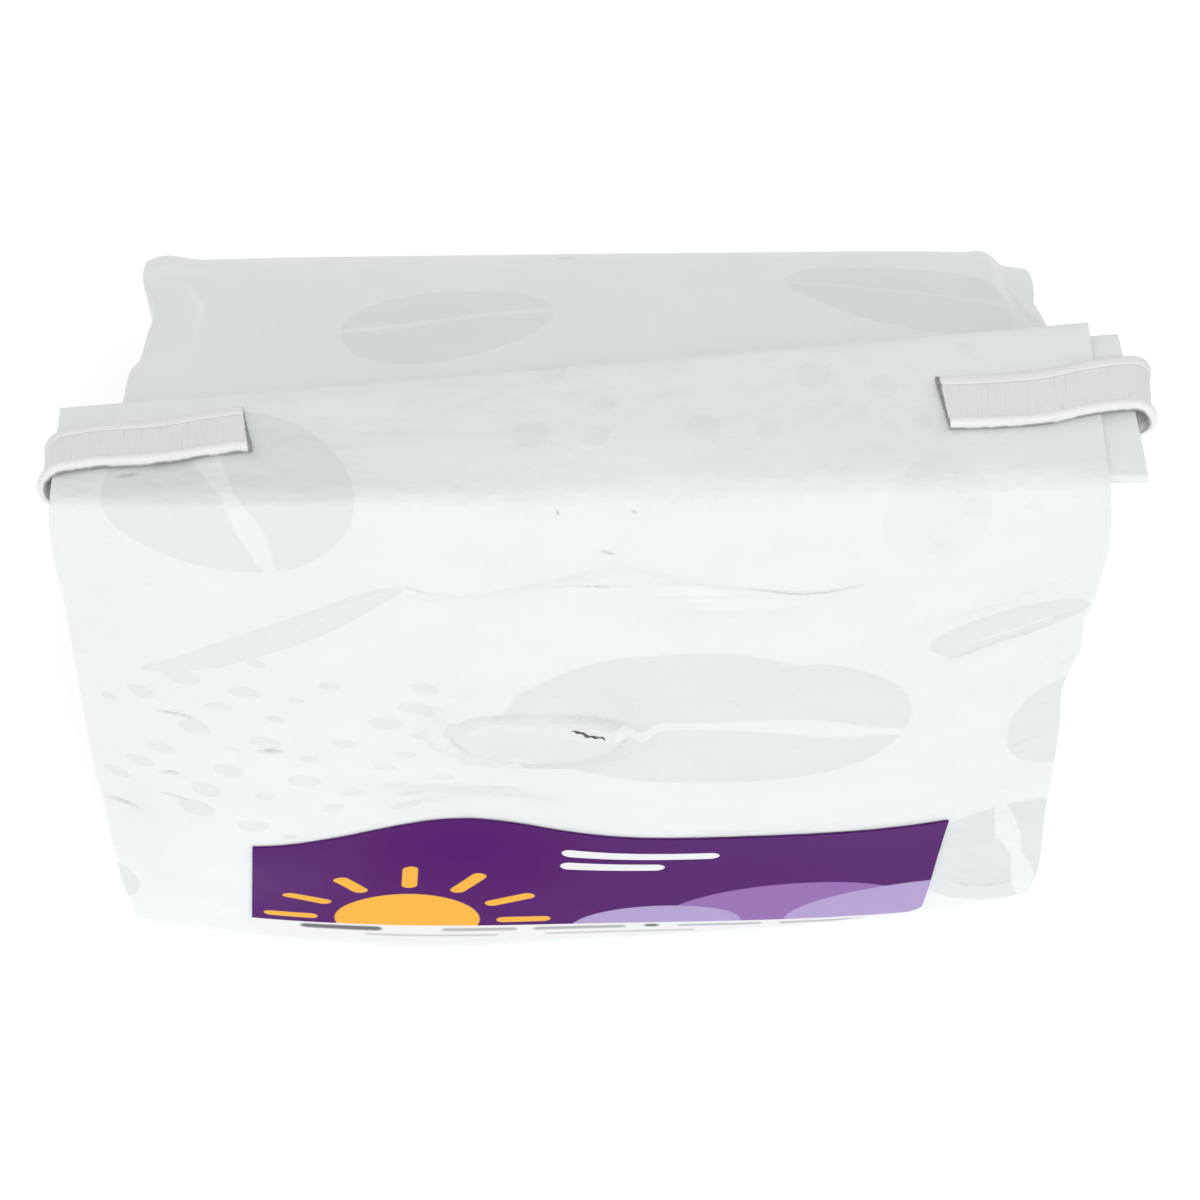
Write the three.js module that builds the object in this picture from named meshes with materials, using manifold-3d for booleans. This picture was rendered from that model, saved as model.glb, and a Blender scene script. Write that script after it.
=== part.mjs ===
// A shut coffee bag: the filled film pack with its rolled top, the tie folded round the roll, and the label.
// Millimetres, Z up, X to the right, Y to the back. The origin is the middle of the base, at floor level.
import * as THREE from "three";
import { mergeVertices } from "three/addons/utils/BufferGeometryUtils.js";
import Module from "manifold-3d";

const wasm = await Module();
wasm.setup();

// The pack
const FILM_WIDTH = 108; // lay-flat width of the film tube, from edge to edge of the front panel
const RIDGE_HEIGHT = 132; // where the front panel turns back into the rolled strip
const NECK_HEIGHT = 121.5; // where the back panel meets the underside of the roll
const FOOT_RADIUS = 5; // rounding between the panels and the base
const FRONT_STEPS = 24; // facets across the front panel, and across the back
const SIDE_STEPS = 8; // facets across each side
const BODY_RINGS = 30;

// The rolled strip: folded over the ridge, it slopes down to the back, more steeply at the left
const LEFT_SLOPE = THREE.MathUtils.degToRad(36.4);
const RIGHT_SLOPE = THREE.MathUtils.degToRad(24.5);
const LEFT_STRIP_WIDTH = 20.5; // from the ridge to the strip's far edge
const RIGHT_STRIP_WIDTH = 26.1;
const STRIP_THICKNESS = 2.8;
const STRIP_ROUNDING = 1.2; // depth of the rounding at the strip's two ends
const STRIP_START = 4; // where the underside begins, behind the ridge
const RIGHT_TAPER = 0.05; // how far the strip's right end comes in for each mm away from the ridge
const STRIP_LEVELS = [0.03, 0.2, 0.4, 0.6, 0.78, 0.88, 0.94, 0.98, 1]; // shares of its width
const INNER_SHIFT = 3.6; // the inner turns of the roll stick out this far at the right

// The tie
const TIE_WIDTH = 7.6;
const TIE_WEB = 0.5; // thickness between the two wires
const TIE_RIB = 1.1; // thickness at the wires
const TIE_GAP = 0.3;
const TIE_LEFT_END = -34.2;
const TIE_RIGHT_END = 37.2;
const TIE_LEFT_TURN = -54.6; // inner face of the left fold
const TIE_RIGHT_TURN = 58.3; // inner face of the right fold

// The valve behind the film, and the label on it
const VALVE = { x: -4.6, z: 84, outer: 11.4, inner: 9.1, rise: 1.0 };
const LABEL = { x: 1.3, z: 24.6, width: 78.4, height: 36, corner: 2, turn: -0.012, gap: 0.3, thickness: 0.4 };

// Height, then the Y of that line of the pack
const LEFT_EDGE = [[0, -28.4], [20, -28], [54, -27], [106, -26], [132, -25.6]];
const RIGHT_EDGE = [[0, -25], [14, -25.9], [24, -26.1], [90, -26], [120, -25.4], [132, -23.7]];
const BACK_LINE = [
  [0, 31.2], [20, 32.2], [40, 32.4], [55, 31.6], [65.5, 29.6], [75, 25.8], [85.5, 20], [95.5, 12.2],
  [103.5, 4], [110.5, -5], [117, -14.5], [NECK_HEIGHT, -22.2],
];
// Height, then a width or a depth there
const BULGE = [[0, 4.6], [30, 4.4], [60, 5.6], [80, 6.8], [100, 5.8], [122, 1.8], [RIDGE_HEIGHT, 0]];
const BACK_BULGE = [[0, 1.5], [40, 2.6], [56, 1.4], [64, 0.5], [84, 0.6], [100, 2.4], [110, 2.6], [NECK_HEIGHT, 0]];
const FRONT_HALF = [[0, 52.4], [8, 52.6], [20, 53.2], [60, 53.4], [80, 53], [105, 53.9], [132, 54]];
const BACK_HALF = [
  [0, 52], [40, 51], [62, 50], [76, 49.3], [88, 48], [102, 47.7], [112, 48.3], [118, 50], [NECK_HEIGHT, 52.5],
];
const GUSSET = [[0, 0], [25, 0.5], [60, 5], [100, 8], [118, 5], [RIDGE_HEIGHT, 0]];

// Where the front panel swells or sinks: place, reach and how far it moves along Y
const WAVES = [
  { x: -40, z: 42, acrossX: 13, acrossZ: 20, move: -2.6 },
  { x: -13, z: 47, acrossX: 12, acrossZ: 14, move: 2.8 },
  { x: 36, z: 60, acrossX: 14, acrossZ: 18, move: -1.2 },
];

const mix = THREE.MathUtils.lerp;
const ease = THREE.MathUtils.smoothstep;

// The value at v between stops of [position, value], with no corner at a stop.
function along(stops, v) {
  const last = stops.length - 1;
  if (v <= stops[0][0]) return stops[0][1];
  if (v >= stops[last][0]) return stops[last][1];
  const i = stops.findIndex((stop) => stop[0] > v) - 1;
  const slope = (a, b) => (stops[b][1] - stops[a][1]) / (stops[b][0] - stops[a][0]);
  const [x0, y0] = stops[i];
  const [x1, y1] = stops[i + 1];
  const m0 = i > 0 ? slope(i - 1, i + 1) : slope(i, i + 1);
  const m1 = i + 1 < last ? slope(i, i + 2) : slope(i, i + 1);
  const d = x1 - x0;
  const t = (v - x0) / d;
  return (
    y0 * (2 * t ** 3 - 3 * t ** 2 + 1) + m0 * d * (t ** 3 - 2 * t ** 2 + t) +
    y1 * (3 * t ** 2 - 2 * t ** 3) + m1 * d * (t ** 3 - t ** 2)
  );
}

// How far a rounded edge of radius r stands back at distance d from its end.
const roundedIn = (r, d) => (d >= r ? 0 : r - Math.sqrt(r * r - (r - d) ** 2));

function frontY(x, z) {
  const share = THREE.MathUtils.clamp(x / FILM_WIDTH + 0.5, 0, 1);
  const edge = mix(along(LEFT_EDGE, z), along(RIGHT_EDGE, z), share);
  const swell = along(BULGE, z) * (1 - Math.abs(2 * share - 1) ** 2.4);
  const wave = WAVES.reduce(
    (sum, w) => sum + w.move * Math.exp(-(((x - w.x) / w.acrossX) ** 2) - ((z - w.z) / w.acrossZ) ** 2),
    0,
  );
  return edge - swell + wave * (1 - ease(Math.abs(x), 44, 54));
}

function backY(x, z) {
  const side = Math.min(1, Math.abs(x) / 50) ** 2.4;
  return along(BACK_LINE, z) - along(BACK_BULGE, z) * side;
}

// A point of the strip: x across, h away from the ridge, n down from the upper face.
function onStrip(x, h, n) {
  const share = x / FILM_WIDTH + 0.5;
  const slope = mix(LEFT_SLOPE, RIGHT_SLOPE, share);
  return new THREE.Vector3(
    x,
    frontY(x, RIDGE_HEIGHT) + h * Math.cos(slope) - n * Math.sin(slope),
    RIDGE_HEIGHT - h * Math.sin(slope) - n * Math.cos(slope),
  );
}

const stripWidth = (x) => mix(LEFT_STRIP_WIDTH, RIGHT_STRIP_WIDTH, x / FILM_WIDTH + 0.5);

// Where the given step round the pack lies: the panel, and how far along it from 0 to 1.
function sectorOf(step) {
  const half = FRONT_STEPS / 2;
  if (step <= half && step >= -half) return ["front", (step + half) / FRONT_STEPS];
  const rest = step < -half ? step + 2 * (FRONT_STEPS + SIDE_STEPS) - half : step - half;
  if (rest < SIDE_STEPS) return ["right", rest / SIDE_STEPS];
  if (rest <= SIDE_STEPS + FRONT_STEPS) return ["back", (rest - SIDE_STEPS) / FRONT_STEPS];
  return ["left", (rest - SIDE_STEPS - FRONT_STEPS) / SIDE_STEPS];
}

// A point of the body's ring at the given share of its height.
function bodyPoint(step, share) {
  const [panel, t] = sectorOf(step);
  const zf = share * RIDGE_HEIGHT;
  const zb = Math.min(zf, mix(zf, share * NECK_HEIGHT, ease(share, 0.1, 0.6)));
  const inset = roundedIn(FOOT_RADIUS, zf);
  const front = along(FRONT_HALF, zf) - inset;
  const back = along(BACK_HALF, zb) - inset;
  if (panel === "front") {
    const x = mix(-front, front, t);
    return new THREE.Vector3(x, frontY(x, zf) + inset, zf);
  }
  if (panel === "back") {
    const x = mix(back, -back, t);
    return new THREE.Vector3(x, backY(x, zb) - inset, zb);
  }
  const side = panel === "right" ? 1 : -1;
  const toBack = side > 0 ? t : 1 - t;
  const y0 = frontY(side * front, zf) + inset;
  const y1 = backY(side * back, zb) - inset;
  const fold = along(GUSSET, zf) * (1 - Math.abs(2 * toBack - 1));
  return new THREE.Vector3(
    side * (mix(front, back, toBack) - fold), mix(y0, y1, toBack), mix(zf, zb, toBack),
  );
}

// A point of the strip's ring at share s of its width.
function stripPoint(step, s) {
  const [panel, t] = sectorOf(step);
  const share = panel === "front" ? t : panel === "back" ? 1 - t : panel === "right" ? 1 : 0;
  const wide = stripWidth(mix(-FILM_WIDTH / 2, FILM_WIDTH / 2, share));
  let toBack = panel === "front" ? 0 : panel === "back" ? 1 : panel === "right" ? t : 1 - t;
  const h = mix(s * wide, mix(STRIP_START, wide, s), toBack);
  const right = FILM_WIDTH / 2 - RIGHT_TAPER * h;
  const rounded = STRIP_ROUNDING * (1 - Math.sin(Math.PI * toBack));
  let x = mix(-FILM_WIDTH / 2 + rounded, right - rounded, share);
  if (panel === "right" && Math.abs(t - 0.5) < 0.3) {
    // the inner turns are a step of the strip's right end that stops short of its far edge
    x = right + (s < 0.9 ? INNER_SHIFT : 0);
    toBack = 0.5 + 0.75 * (t - 0.5);
  }
  const edge = roundedIn(STRIP_THICKNESS / 2, wide - h) * 0.9;
  return onStrip(x, h, mix(edge, STRIP_THICKNESS - edge, toBack));
}

// Moves each vertex of a geometry by a function of its place, and gives back a closed solid.
function solid(geometry, move) {
  const at = geometry.getAttribute("position");
  const p = new THREE.Vector3();
  for (let i = 0; i < at.count; i++) {
    const q = move(p.fromBufferAttribute(at, i).clone());
    at.setXYZ(i, q.x, q.y, q.z);
  }
  geometry.deleteAttribute("normal");
  geometry.deleteAttribute("uv");
  const merged = mergeVertices(geometry, 1e-3);
  return new wasm.Manifold(
    new wasm.Mesh({
      numProp: 3,
      vertProperties: new Float32Array(merged.getAttribute("position").array),
      triVerts: new Uint32Array(merged.getIndex().array),
    }),
  );
}

// A named mesh from a solid.
function mesh(name, shape, color, roughness, metalness) {
  const data = shape.getMesh();
  const geometry = new THREE.BufferGeometry();
  geometry.setAttribute("position", new THREE.BufferAttribute(data.vertProperties, 3));
  geometry.setIndex(new THREE.BufferAttribute(data.triVerts, 1));
  geometry.computeVertexNormals();
  const made = new THREE.Mesh(geometry, new THREE.MeshStandardMaterial({ color, roughness, metalness }));
  made.name = name;
  return made;
}

// The height of body ring i, as a share: close together at the foot and below the ridge.
const ringShare = (i) => {
  const foot = FOOT_RADIUS / RIDGE_HEIGHT;
  if (i < 4) return foot * (1 - Math.cos((i / 4) * (Math.PI / 2)));
  return mix(foot, 1, ((i - 4) / (BODY_RINGS - 4)) ** 0.85);
};

function filledPack() {
  const around = 2 * (FRONT_STEPS + SIDE_STEPS);
  const rings = BODY_RINGS + STRIP_LEVELS.length;
  const tube = new THREE.CylinderGeometry(1, 1, rings, around, rings);
  return solid(tube, (p) => {
    const ring = Math.round(p.y + rings / 2);
    const centre = Math.hypot(p.x, p.z) < 0.5;
    const step = Math.round((Math.atan2(p.x, p.z) / (2 * Math.PI)) * around);
    if (ring <= BODY_RINGS) return centre ? new THREE.Vector3(0, 1, 0) : bodyPoint(step, ringShare(ring));
    const level = STRIP_LEVELS[ring - BODY_RINGS - 1];
    return centre ? onStrip(0, stripWidth(0), STRIP_THICKNESS / 2) : stripPoint(step, level);
  });
}

// The valve's plate, pushing the film out as a low round rise with a second step inside it.
function valveRise() {
  const { x, z, outer, inner, rise } = VALVE;
  const profile = [
    [0, -3], [outer, -3], [outer, rise * 0.25], [outer - 0.7, rise * 0.7], [inner + 0.3, rise * 0.75],
    [inner - 0.3, rise], [0, rise * 1.05],
  ].map(([r, h]) => new THREE.Vector2(r, h));
  const span = 6;
  const normal = new THREE.Vector3(
    (frontY(x + span, z) - frontY(x - span, z)) / (2 * span),
    -1,
    (frontY(x, z + span) - frontY(x, z - span)) / (2 * span),
  ).normalize();
  const turn = new THREE.Quaternion().setFromUnitVectors(new THREE.Vector3(0, 1, 0), normal);
  const place = new THREE.Vector3(x, frontY(x, z), z);
  return solid(new THREE.LatheGeometry(profile, 40), (p) => p.applyQuaternion(turn).add(place));
}

// The path of the tie's inner face round the strip, from the left end to the right end.
function tiePath() {
  const front = -TIE_GAP;
  const back = STRIP_THICKNESS + TIE_GAP;
  const middle = (front + back) / 2;
  const half = (back - front) / 2;
  const path = new THREE.CurvePath();
  const point = (x, n) => new THREE.Vector3(x, n, 0);
  const turnRound = (x, side) =>
    new THREE.CatmullRomCurve3([0, 1, 2, 3, 4, 5, 6].map((i) => {
      const a = side * (Math.PI / 2 - (i / 6) * Math.PI);
      return point(x + side * half * Math.cos(a), middle + half * Math.sin(a));
    }));
  const left = TIE_LEFT_TURN + half;
  const right = TIE_RIGHT_TURN - half;
  path.add(new THREE.LineCurve3(point(TIE_LEFT_END, front), point(left, front)));
  path.add(turnRound(left, -1));
  path.add(new THREE.LineCurve3(point(left, back), point(right, back)));
  path.add(turnRound(right, 1));
  path.add(new THREE.LineCurve3(point(right, front), point(TIE_RIGHT_END, front)));
  return path;
}

// The tie's middle line, as a distance from the ridge.
const tieMiddle = (x) => along([[-56, 9.8], [-50, 11], [-34, 13.2], [37, 13.4], [48, 13.8], [59, 15.4]], x);

function tie() {
  const path = tiePath();
  const lengths = path.getLength();
  const stops = [];
  const add = (from, to, n) => {
    for (let i = 0; i < n; i++) stops.push(mix(from, to, i / n));
  };
  const parts = path.getCurveLengths();
  add(0, parts[0], 5);
  add(parts[0], parts[1], 8);
  add(parts[1], parts[2], 18);
  add(parts[2], parts[3], 8);
  add(parts[3], parts[4], 5);
  stops.push(lengths);
  const segments = stops.length - 1;
  const lanes = [-0.5, -0.34, -0.2, 0.2, 0.34, 0.5];
  const rise = [TIE_WEB, TIE_RIB, TIE_WEB, TIE_WEB, TIE_RIB, TIE_WEB];
  const band = new THREE.BoxGeometry(segments, lanes.length - 1, 1, segments, lanes.length - 1, 1);
  return solid(band, (p) => {
    const share = stops[Math.round(p.x + segments / 2)] / lengths;
    const lane = Math.round(p.y + (lanes.length - 1) / 2);
    const at = path.getPointAt(Math.min(1, share));
    const way = path.getTangentAt(Math.min(1, Math.max(0, share)));
    const thickness = p.z < 0 ? rise[lane] : 0;
    return onStrip(
      at.x - way.y * thickness,
      tieMiddle(at.x) + lanes[lane] * TIE_WIDTH,
      at.y + way.x * thickness,
    );
  });
}

function label() {
  const { x, z, width, height, corner, turn, gap, thickness } = LABEL;
  const sheet = new THREE.BoxGeometry(1, 1, 1, 24, 12, 1);
  return solid(sheet, (p) => {
    // rows are closer together near the rounded corners
    const v = 0.5 * Math.sin(p.y * Math.PI) * height;
    const inset = roundedIn(corner, height / 2 - Math.abs(v));
    const u = p.x * (width - 2 * inset);
    const px = x + u * Math.cos(turn) - v * Math.sin(turn);
    const pz = z + u * Math.sin(turn) + v * Math.cos(turn);
    return new THREE.Vector3(px, frontY(px, pz) - gap - (p.z + 0.5) * thickness, pz);
  });
}

const bag = filledPack().add(valveRise());

const group = new THREE.Group();
group.name = "coffee_bag";
group.add(mesh("bag", bag, 0xeef1f0, 0.38, 0));
group.add(mesh("tin_tie", tie(), 0xdadddc, 0.4, 0));
group.add(mesh("label", label(), 0x613574, 0.5, 0));

export default group;
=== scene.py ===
"""Looks of a shut coffee bag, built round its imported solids.

A piece is shaped in millimetres, in the frame of the solids: X to the right across the front panel,
Y to the back, Z up. It is turned into metres when its mesh is made.
"""

import logging
import math
from collections.abc import Sequence
from dataclasses import dataclass
from enum import Enum
from typing import Union

import bpy
import numpy as np
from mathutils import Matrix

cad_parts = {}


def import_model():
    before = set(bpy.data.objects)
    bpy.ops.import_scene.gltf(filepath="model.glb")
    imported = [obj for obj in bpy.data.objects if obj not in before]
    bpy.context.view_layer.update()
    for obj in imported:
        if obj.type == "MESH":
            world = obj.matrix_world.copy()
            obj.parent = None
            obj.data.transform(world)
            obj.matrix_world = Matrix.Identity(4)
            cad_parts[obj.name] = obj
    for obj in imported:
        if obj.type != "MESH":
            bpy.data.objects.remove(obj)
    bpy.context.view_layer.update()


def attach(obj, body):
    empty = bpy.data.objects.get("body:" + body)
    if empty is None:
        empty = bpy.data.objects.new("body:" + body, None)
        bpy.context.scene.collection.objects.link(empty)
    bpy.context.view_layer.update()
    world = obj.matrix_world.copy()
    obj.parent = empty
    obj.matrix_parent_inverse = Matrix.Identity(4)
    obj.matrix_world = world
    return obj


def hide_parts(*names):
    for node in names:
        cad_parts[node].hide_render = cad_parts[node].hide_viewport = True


LOG = logging.getLogger("coffee_bag")
BODY = "root"
MM = 0.001

Numbers = Union[np.ndarray, float]
Place = tuple[float, float]
Stops = Sequence[Place]
Colour = tuple[float, float, float]
Socket = bpy.types.NodeSocket
Value = Union[Socket, float, Sequence[float]]
Inputs = dict[Union[str, int], Value]


# Plain sums


def mix(a: Numbers, b: Numbers, t: Numbers) -> Numbers:
    """Goes from a to b as t goes from 0 to 1."""
    return a + (b - a) * t


def ease(v: Numbers, low: float, high: float) -> np.ndarray:
    """Rises smoothly from 0 at low to 1 at high.

    Args:
        v: Where to read the rise.
        low: The value at which it starts.
        high: The value at which it ends.

    Returns:
        The share, of v's shape.
    """
    t = np.clip((np.asarray(v, float) - low) / (high - low), 0.0, 1.0)
    return t * t * (3 - 2 * t)


def along(stops: Stops, v: Numbers) -> np.ndarray:
    """Reads a smooth curve through stops of (position, value).

    Args:
        stops: The curve's points, in rising order of position.
        v: The positions to read.

    Returns:
        The values, of v's shape.
    """
    xs, ys = np.array(stops, float).T
    v = np.clip(np.asarray(v, float), xs[0], xs[-1])
    grade = np.gradient(ys, xs)
    grade[1:-1] = (ys[2:] - ys[:-2]) / (xs[2:] - xs[:-2])
    i = np.clip(np.searchsorted(xs, v, side="right") - 1, 0, len(xs) - 2)
    d = xs[i + 1] - xs[i]
    t = (v - xs[i]) / d
    return (
        ys[i] * (2 * t**3 - 3 * t**2 + 1)
        + grade[i] * d * (t**3 - 2 * t**2 + t)
        + ys[i + 1] * (3 * t**2 - 2 * t**3)
        + grade[i + 1] * d * (t**3 - t**2)
    )


def rounded_in(radius: float, depth: Numbers) -> np.ndarray:
    """How far a rounded edge stands back at a depth from its end.

    Args:
        radius: The edge's radius.
        depth: The distance from the end.

    Returns:
        The set-back, 0 past the radius.
    """
    rest = np.clip(radius - np.asarray(depth, float), 0.0, radius)
    return radius - np.sqrt(radius**2 - rest**2)


@dataclass(frozen=True)
class Swell:
    """A soft hump, or hollow, of a panel.

    Args:
        at: Its middle, as across and up.
        reach: How far it spreads, across and up.
        height: How far it stands out, in mm; negative for a hollow.
        turn: Its turn, in degrees.
    """

    at: Place
    reach: Place
    height: float
    turn: float = 0.0

    def lift(self, x: np.ndarray, z: np.ndarray) -> np.ndarray:
        """Gives how far the film stands out.

        Args:
            x: Places across.
            z: Places up.

        Returns:
            The height at each place, in mm.
        """
        c, s = math.cos(math.radians(self.turn)), math.sin(math.radians(self.turn))
        dx, dz = x - self.at[0], z - self.at[1]
        u, v = (c * dx + s * dz) / self.reach[0], (-s * dx + c * dz) / self.reach[1]
        return self.height * np.exp(-(u**2) - v**2)


@dataclass(frozen=True)
class Fold:
    """A ridge, or furrow, along a bowed line between two places of a panel.

    Args:
        start: One end, as across and up.
        end: The other end.
        height: How far the crest stands out, in mm; negative for a furrow.
        above: Half width on the upper side.
        below: Half width on the lower side.
        bow: How far the line's middle is pushed up.
        crease: 0 for a round crest and 1 for a sharp one.
        sharpness: How fast a sharp crest falls away.
        starts: From where to where along the line it rises.
        ends: From where to where it runs out.
    """

    start: Place
    end: Place
    height: float
    above: float
    below: float
    bow: float = 0.0
    crease: float = 0.6
    sharpness: float = 1.6
    starts: Place = (-0.05, 0.3)
    ends: Place = (0.7, 1.05)

    def lift(self, x: np.ndarray, z: np.ndarray) -> np.ndarray:
        """Gives how far the film stands out.

        Args:
            x: Places across.
            z: Places up.

        Returns:
            The height at each place, in mm.
        """
        dx, dz = self.end[0] - self.start[0], self.end[1] - self.start[1]
        length = math.hypot(dx, dz)
        t = ((x - self.start[0]) * dx + (z - self.start[1]) * dz) / length**2
        off = ((z - self.start[1]) * dx - (x - self.start[0]) * dz) / length
        off = off - 4 * self.bow * t * (1 - t)
        far = np.abs(off) / np.where(off > 0, self.above, self.below)
        body = (1 - self.crease) * np.exp(-(far**2)) + self.crease * np.exp(-far * self.sharpness)
        return self.height * body * ease(t, *self.starts) * (1 - ease(t, *self.ends))


def sum_of(marks: Sequence[Swell | Fold], x: np.ndarray, z: np.ndarray) -> np.ndarray:
    """Adds up what several swells and folds do.

    Args:
        marks: The swells and folds.
        x: Places across.
        z: Places up.

    Returns:
        The height at each place, in mm.
    """
    total = np.zeros(np.broadcast(x, z).shape)
    for mark in marks:
        total = total + mark.lift(x, z)
    return total


def buckles(seed: int, x: np.ndarray, z: np.ndarray, scale: float) -> np.ndarray:
    """Gives a slow, seeded waviness of about plus or minus one.

    Args:
        seed: Which waviness to give.
        x: Places across.
        z: Places up.
        scale: The usual length of a wave, in mm.

    Returns:
        The waviness at each place.
    """
    waves, shortest, longest = 9, 0.7, 1.8
    random = np.random.default_rng(seed)
    total = np.zeros(np.broadcast(x, z).shape)
    for _ in range(waves):
        angle, phase = random.uniform(0, math.tau, 2)
        length = scale * random.uniform(shortest, longest)
        total = total + np.sin((x * math.cos(angle) + z * math.sin(angle)) * math.tau / length + phase)
    return total / (waves / 2)


def random_folds(seed: int, count: int, wide: float, low: float, high: float, height: float) -> list[Fold]:
    """Scatters small folds over a panel that the photograph doesn't show.

    Args:
        seed: Which scatter to give.
        count: How many folds.
        wide: Half the panel's width.
        low: Its lowest place.
        high: Its highest place.
        height: The folds' usual height.

    Returns:
        The folds.
    """
    slant, most_bow = 0.7, 2
    lengths, widths = (9, 26), (1.2, 4.0)
    random = np.random.default_rng(seed)
    made = []
    for _ in range(count):
        x, z = random.uniform(-wide, wide), random.uniform(low, high)
        angle, length = random.uniform(-slant, slant), random.uniform(*lengths)
        dx, dz = 0.5 * length * math.cos(angle), 0.5 * length * math.sin(angle)
        above, below = random.uniform(*widths, 2)
        tall, bow = height * random.uniform(-1, 1), random.uniform(-most_bow, most_bow)
        made.append(Fold((x - dx, z - dz), (x + dx, z + dz), tall, above, below, bow))
    return made


@dataclass(frozen=True)
class Valve:
    """The low round rise that the valve's plate makes in the film.

    Args:
        at: Its middle, as across and up.
        outer: The radius of the plate's rim.
        inner: The radius of the flat disc inside the rim.
        rise: How far the disc stands out.
        rim: How far the rim's crest stands out.
        groove: How far the film stands out in the groove between them.
        step: From where to where round the inner radius the disc's edge falls.
        climb: Where the rim starts to rise, past the inner radius, and has risen, before the outer one.
        run_out: How far past the outer radius the film lies flat again.
        dish: How far the disc's middle stands out less; negative.
        dish_reach: How far that spreads.
    """

    at: Place = (-4.6, 84.3)
    outer: float = 11.4
    inner: float = 9.1
    rise: float = 1.5
    rim: float = 1.35
    groove: float = 0.5
    step: Place = (0.6, 0.5)
    climb: Place = (0.6, 0.3)
    run_out: float = 2.0
    dish: float = -0.35
    dish_reach: float = 5.5

    def lift(self, x: np.ndarray, z: np.ndarray) -> np.ndarray:
        """Gives how far the film stands out.

        Args:
            x: Places across.
            z: Places up.

        Returns:
            The height at each place, in mm.
        """
        far = np.hypot(x - self.at[0], z - self.at[1])
        risen = self.outer - self.climb[1]
        step = ease(far, self.inner - self.step[0], self.inner + self.step[1])
        disc = (self.rise - self.groove) * (1 - step)
        crest = (self.rim - self.groove) * ease(far, self.inner + self.climb[0], risen)
        fall = 1 - ease(far, risen, self.outer + self.run_out)
        dish = self.dish * np.exp(-((far / self.dish_reach) ** 2))
        return self.groove * fall + disc + crest * fall + dish


# Folds and swells that the photograph shows, as across and up on the front panel

FRONT_MARKS: tuple[Swell | Fold, ...] = (
    Swell((-40, 42), (13, 20), 2.6),
    Swell((-20, 4), (20, 15), 0.9),
    Swell((-13, 47), (12, 14), -2.8),
    Swell((36, 60), (14, 18), 1.2),
    Swell((-4.6, 96.5), (17, 7), 1.5),
    Swell((-4.6, 70.5), (16, 7), -0.5),
    Swell((3.2, 128.6), (5.0, 3.2), -1.3),
    Fold((-21, 117.0), (6.4, 128.4), 2.0, 5.0, 3.4, -1.6, 0.3),
    Fold((0.4, 128.0), (32, 117.2), 2.0, 5.0, 3.0, -1.9, 0.3),
    Fold((-20.5, 117.8), (-10.5, 117.6), -0.49, 0.5, 0.6, 0, 0.9),
    Fold((-3.6, 117.7), (7.5, 116.9), -0.38, 0.5, 0.5, 0, 0.9),
    Fold((8, 117.6), (24, 117.8), -0.61, 0.45, 0.6, 0.5, 0.9),
    Fold((14, 119.1), (30.5, 116.6), -0.68, 0.5, 0.5, 0.2, 0.9),
    Fold((5, 115.8), (20, 116.8), 0.5, 0.6, 0.7, 0.2, 0.5),
    Fold((8, 114.7), (19, 115.6), 0.4, 0.6, 0.7, 0, 0.5),
    Fold((6, 114.2), (26, 114.4), 0.76, 1.3, 2.2, -0.8, 0.5),
    Swell((-14, 122.2), (9, 2.4), -0.5),
    Swell((21, 122.6), (13, 2.8), -0.5),
    Swell((-30, 121), (10, 3.0), 0.35),
    Swell((40, 118), (8, 4.5), 0.4, 15),
    Fold((-34, 96), (-14, 114.5), 0.68, 1.5, 3.2, 1.0, 0.5),
    Fold((-54, 78.5), (-36, 88), 0.76, 4.5, 2.6, 1.0, 0.3),
    Fold((-50, 97), (-22, 93), 0.38, 3.5, 4.5, 0.8, 0.3),
    Fold((36.5, 96.6), (54.5, 106.2), 0.9, 1.7, 1.3, 0.8, 0.4),
    Fold((39, 95.5), (54.5, 103.6), -0.8, 1.3, 1.8, 0.9, 0.3),
    Fold((14, 97), (46, 112.5), 0.61, 3.5, 3.0, 1.5, 0.4),
    Fold((24, 108), (54, 117), 0.53, 2.8, 3.4, -1.0, 0.4),
    Fold((28, 86), (54, 96), 0.46, 4, 4, 0, 0.3),
    Fold((46, 66.5), (54.5, 71.5), 1.05, 1.0, 1.8, 0.4, 0.6),
    Fold((38, 52), (52, 47), -0.61, 2.5, 2.0, 0, 0.5),
    Fold((41, 30), (53, 37), 1.2, 1.8, 2.4, 0.6, 0.5),
    Fold((42, 19), (52, 14), 1.3, 1.6, 1.8, 0, 0.5),
    Swell((-43.5, 78), (2.1, 0.8), -0.75, -6),
    Swell((-51.6, 45.8), (2.2, 0.9), -0.8, 12),
    Swell((-45.2, 60.2), (1.4, 0.7), -0.55, 25),
    Swell((-45.3, 53.6), (1.8, 0.7), -0.45, -4),
    Swell((-33.6, 71.4), (1.7, 0.8), -0.45, 10),
    Fold((-44, 70.5), (-34, 71.8), 0.32, 0.6, 0.5, 0, 0.9),
    Fold((-16, 97), (-11, 78), 0.38, 1.2, 1.6, 1.6, 0.5),
    Fold((-22, 62), (10, 66), 0.2, 3, 3.5, -2, 0.3),
    Fold((8, 70), (40, 84), 0.46, 3.4, 3.0, 1.5, 0.3),
    Fold((2, 104), (30, 101), 0.46, 2.6, 3.0, 0.8, 0.3),
)

# The same on the back panel

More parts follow.
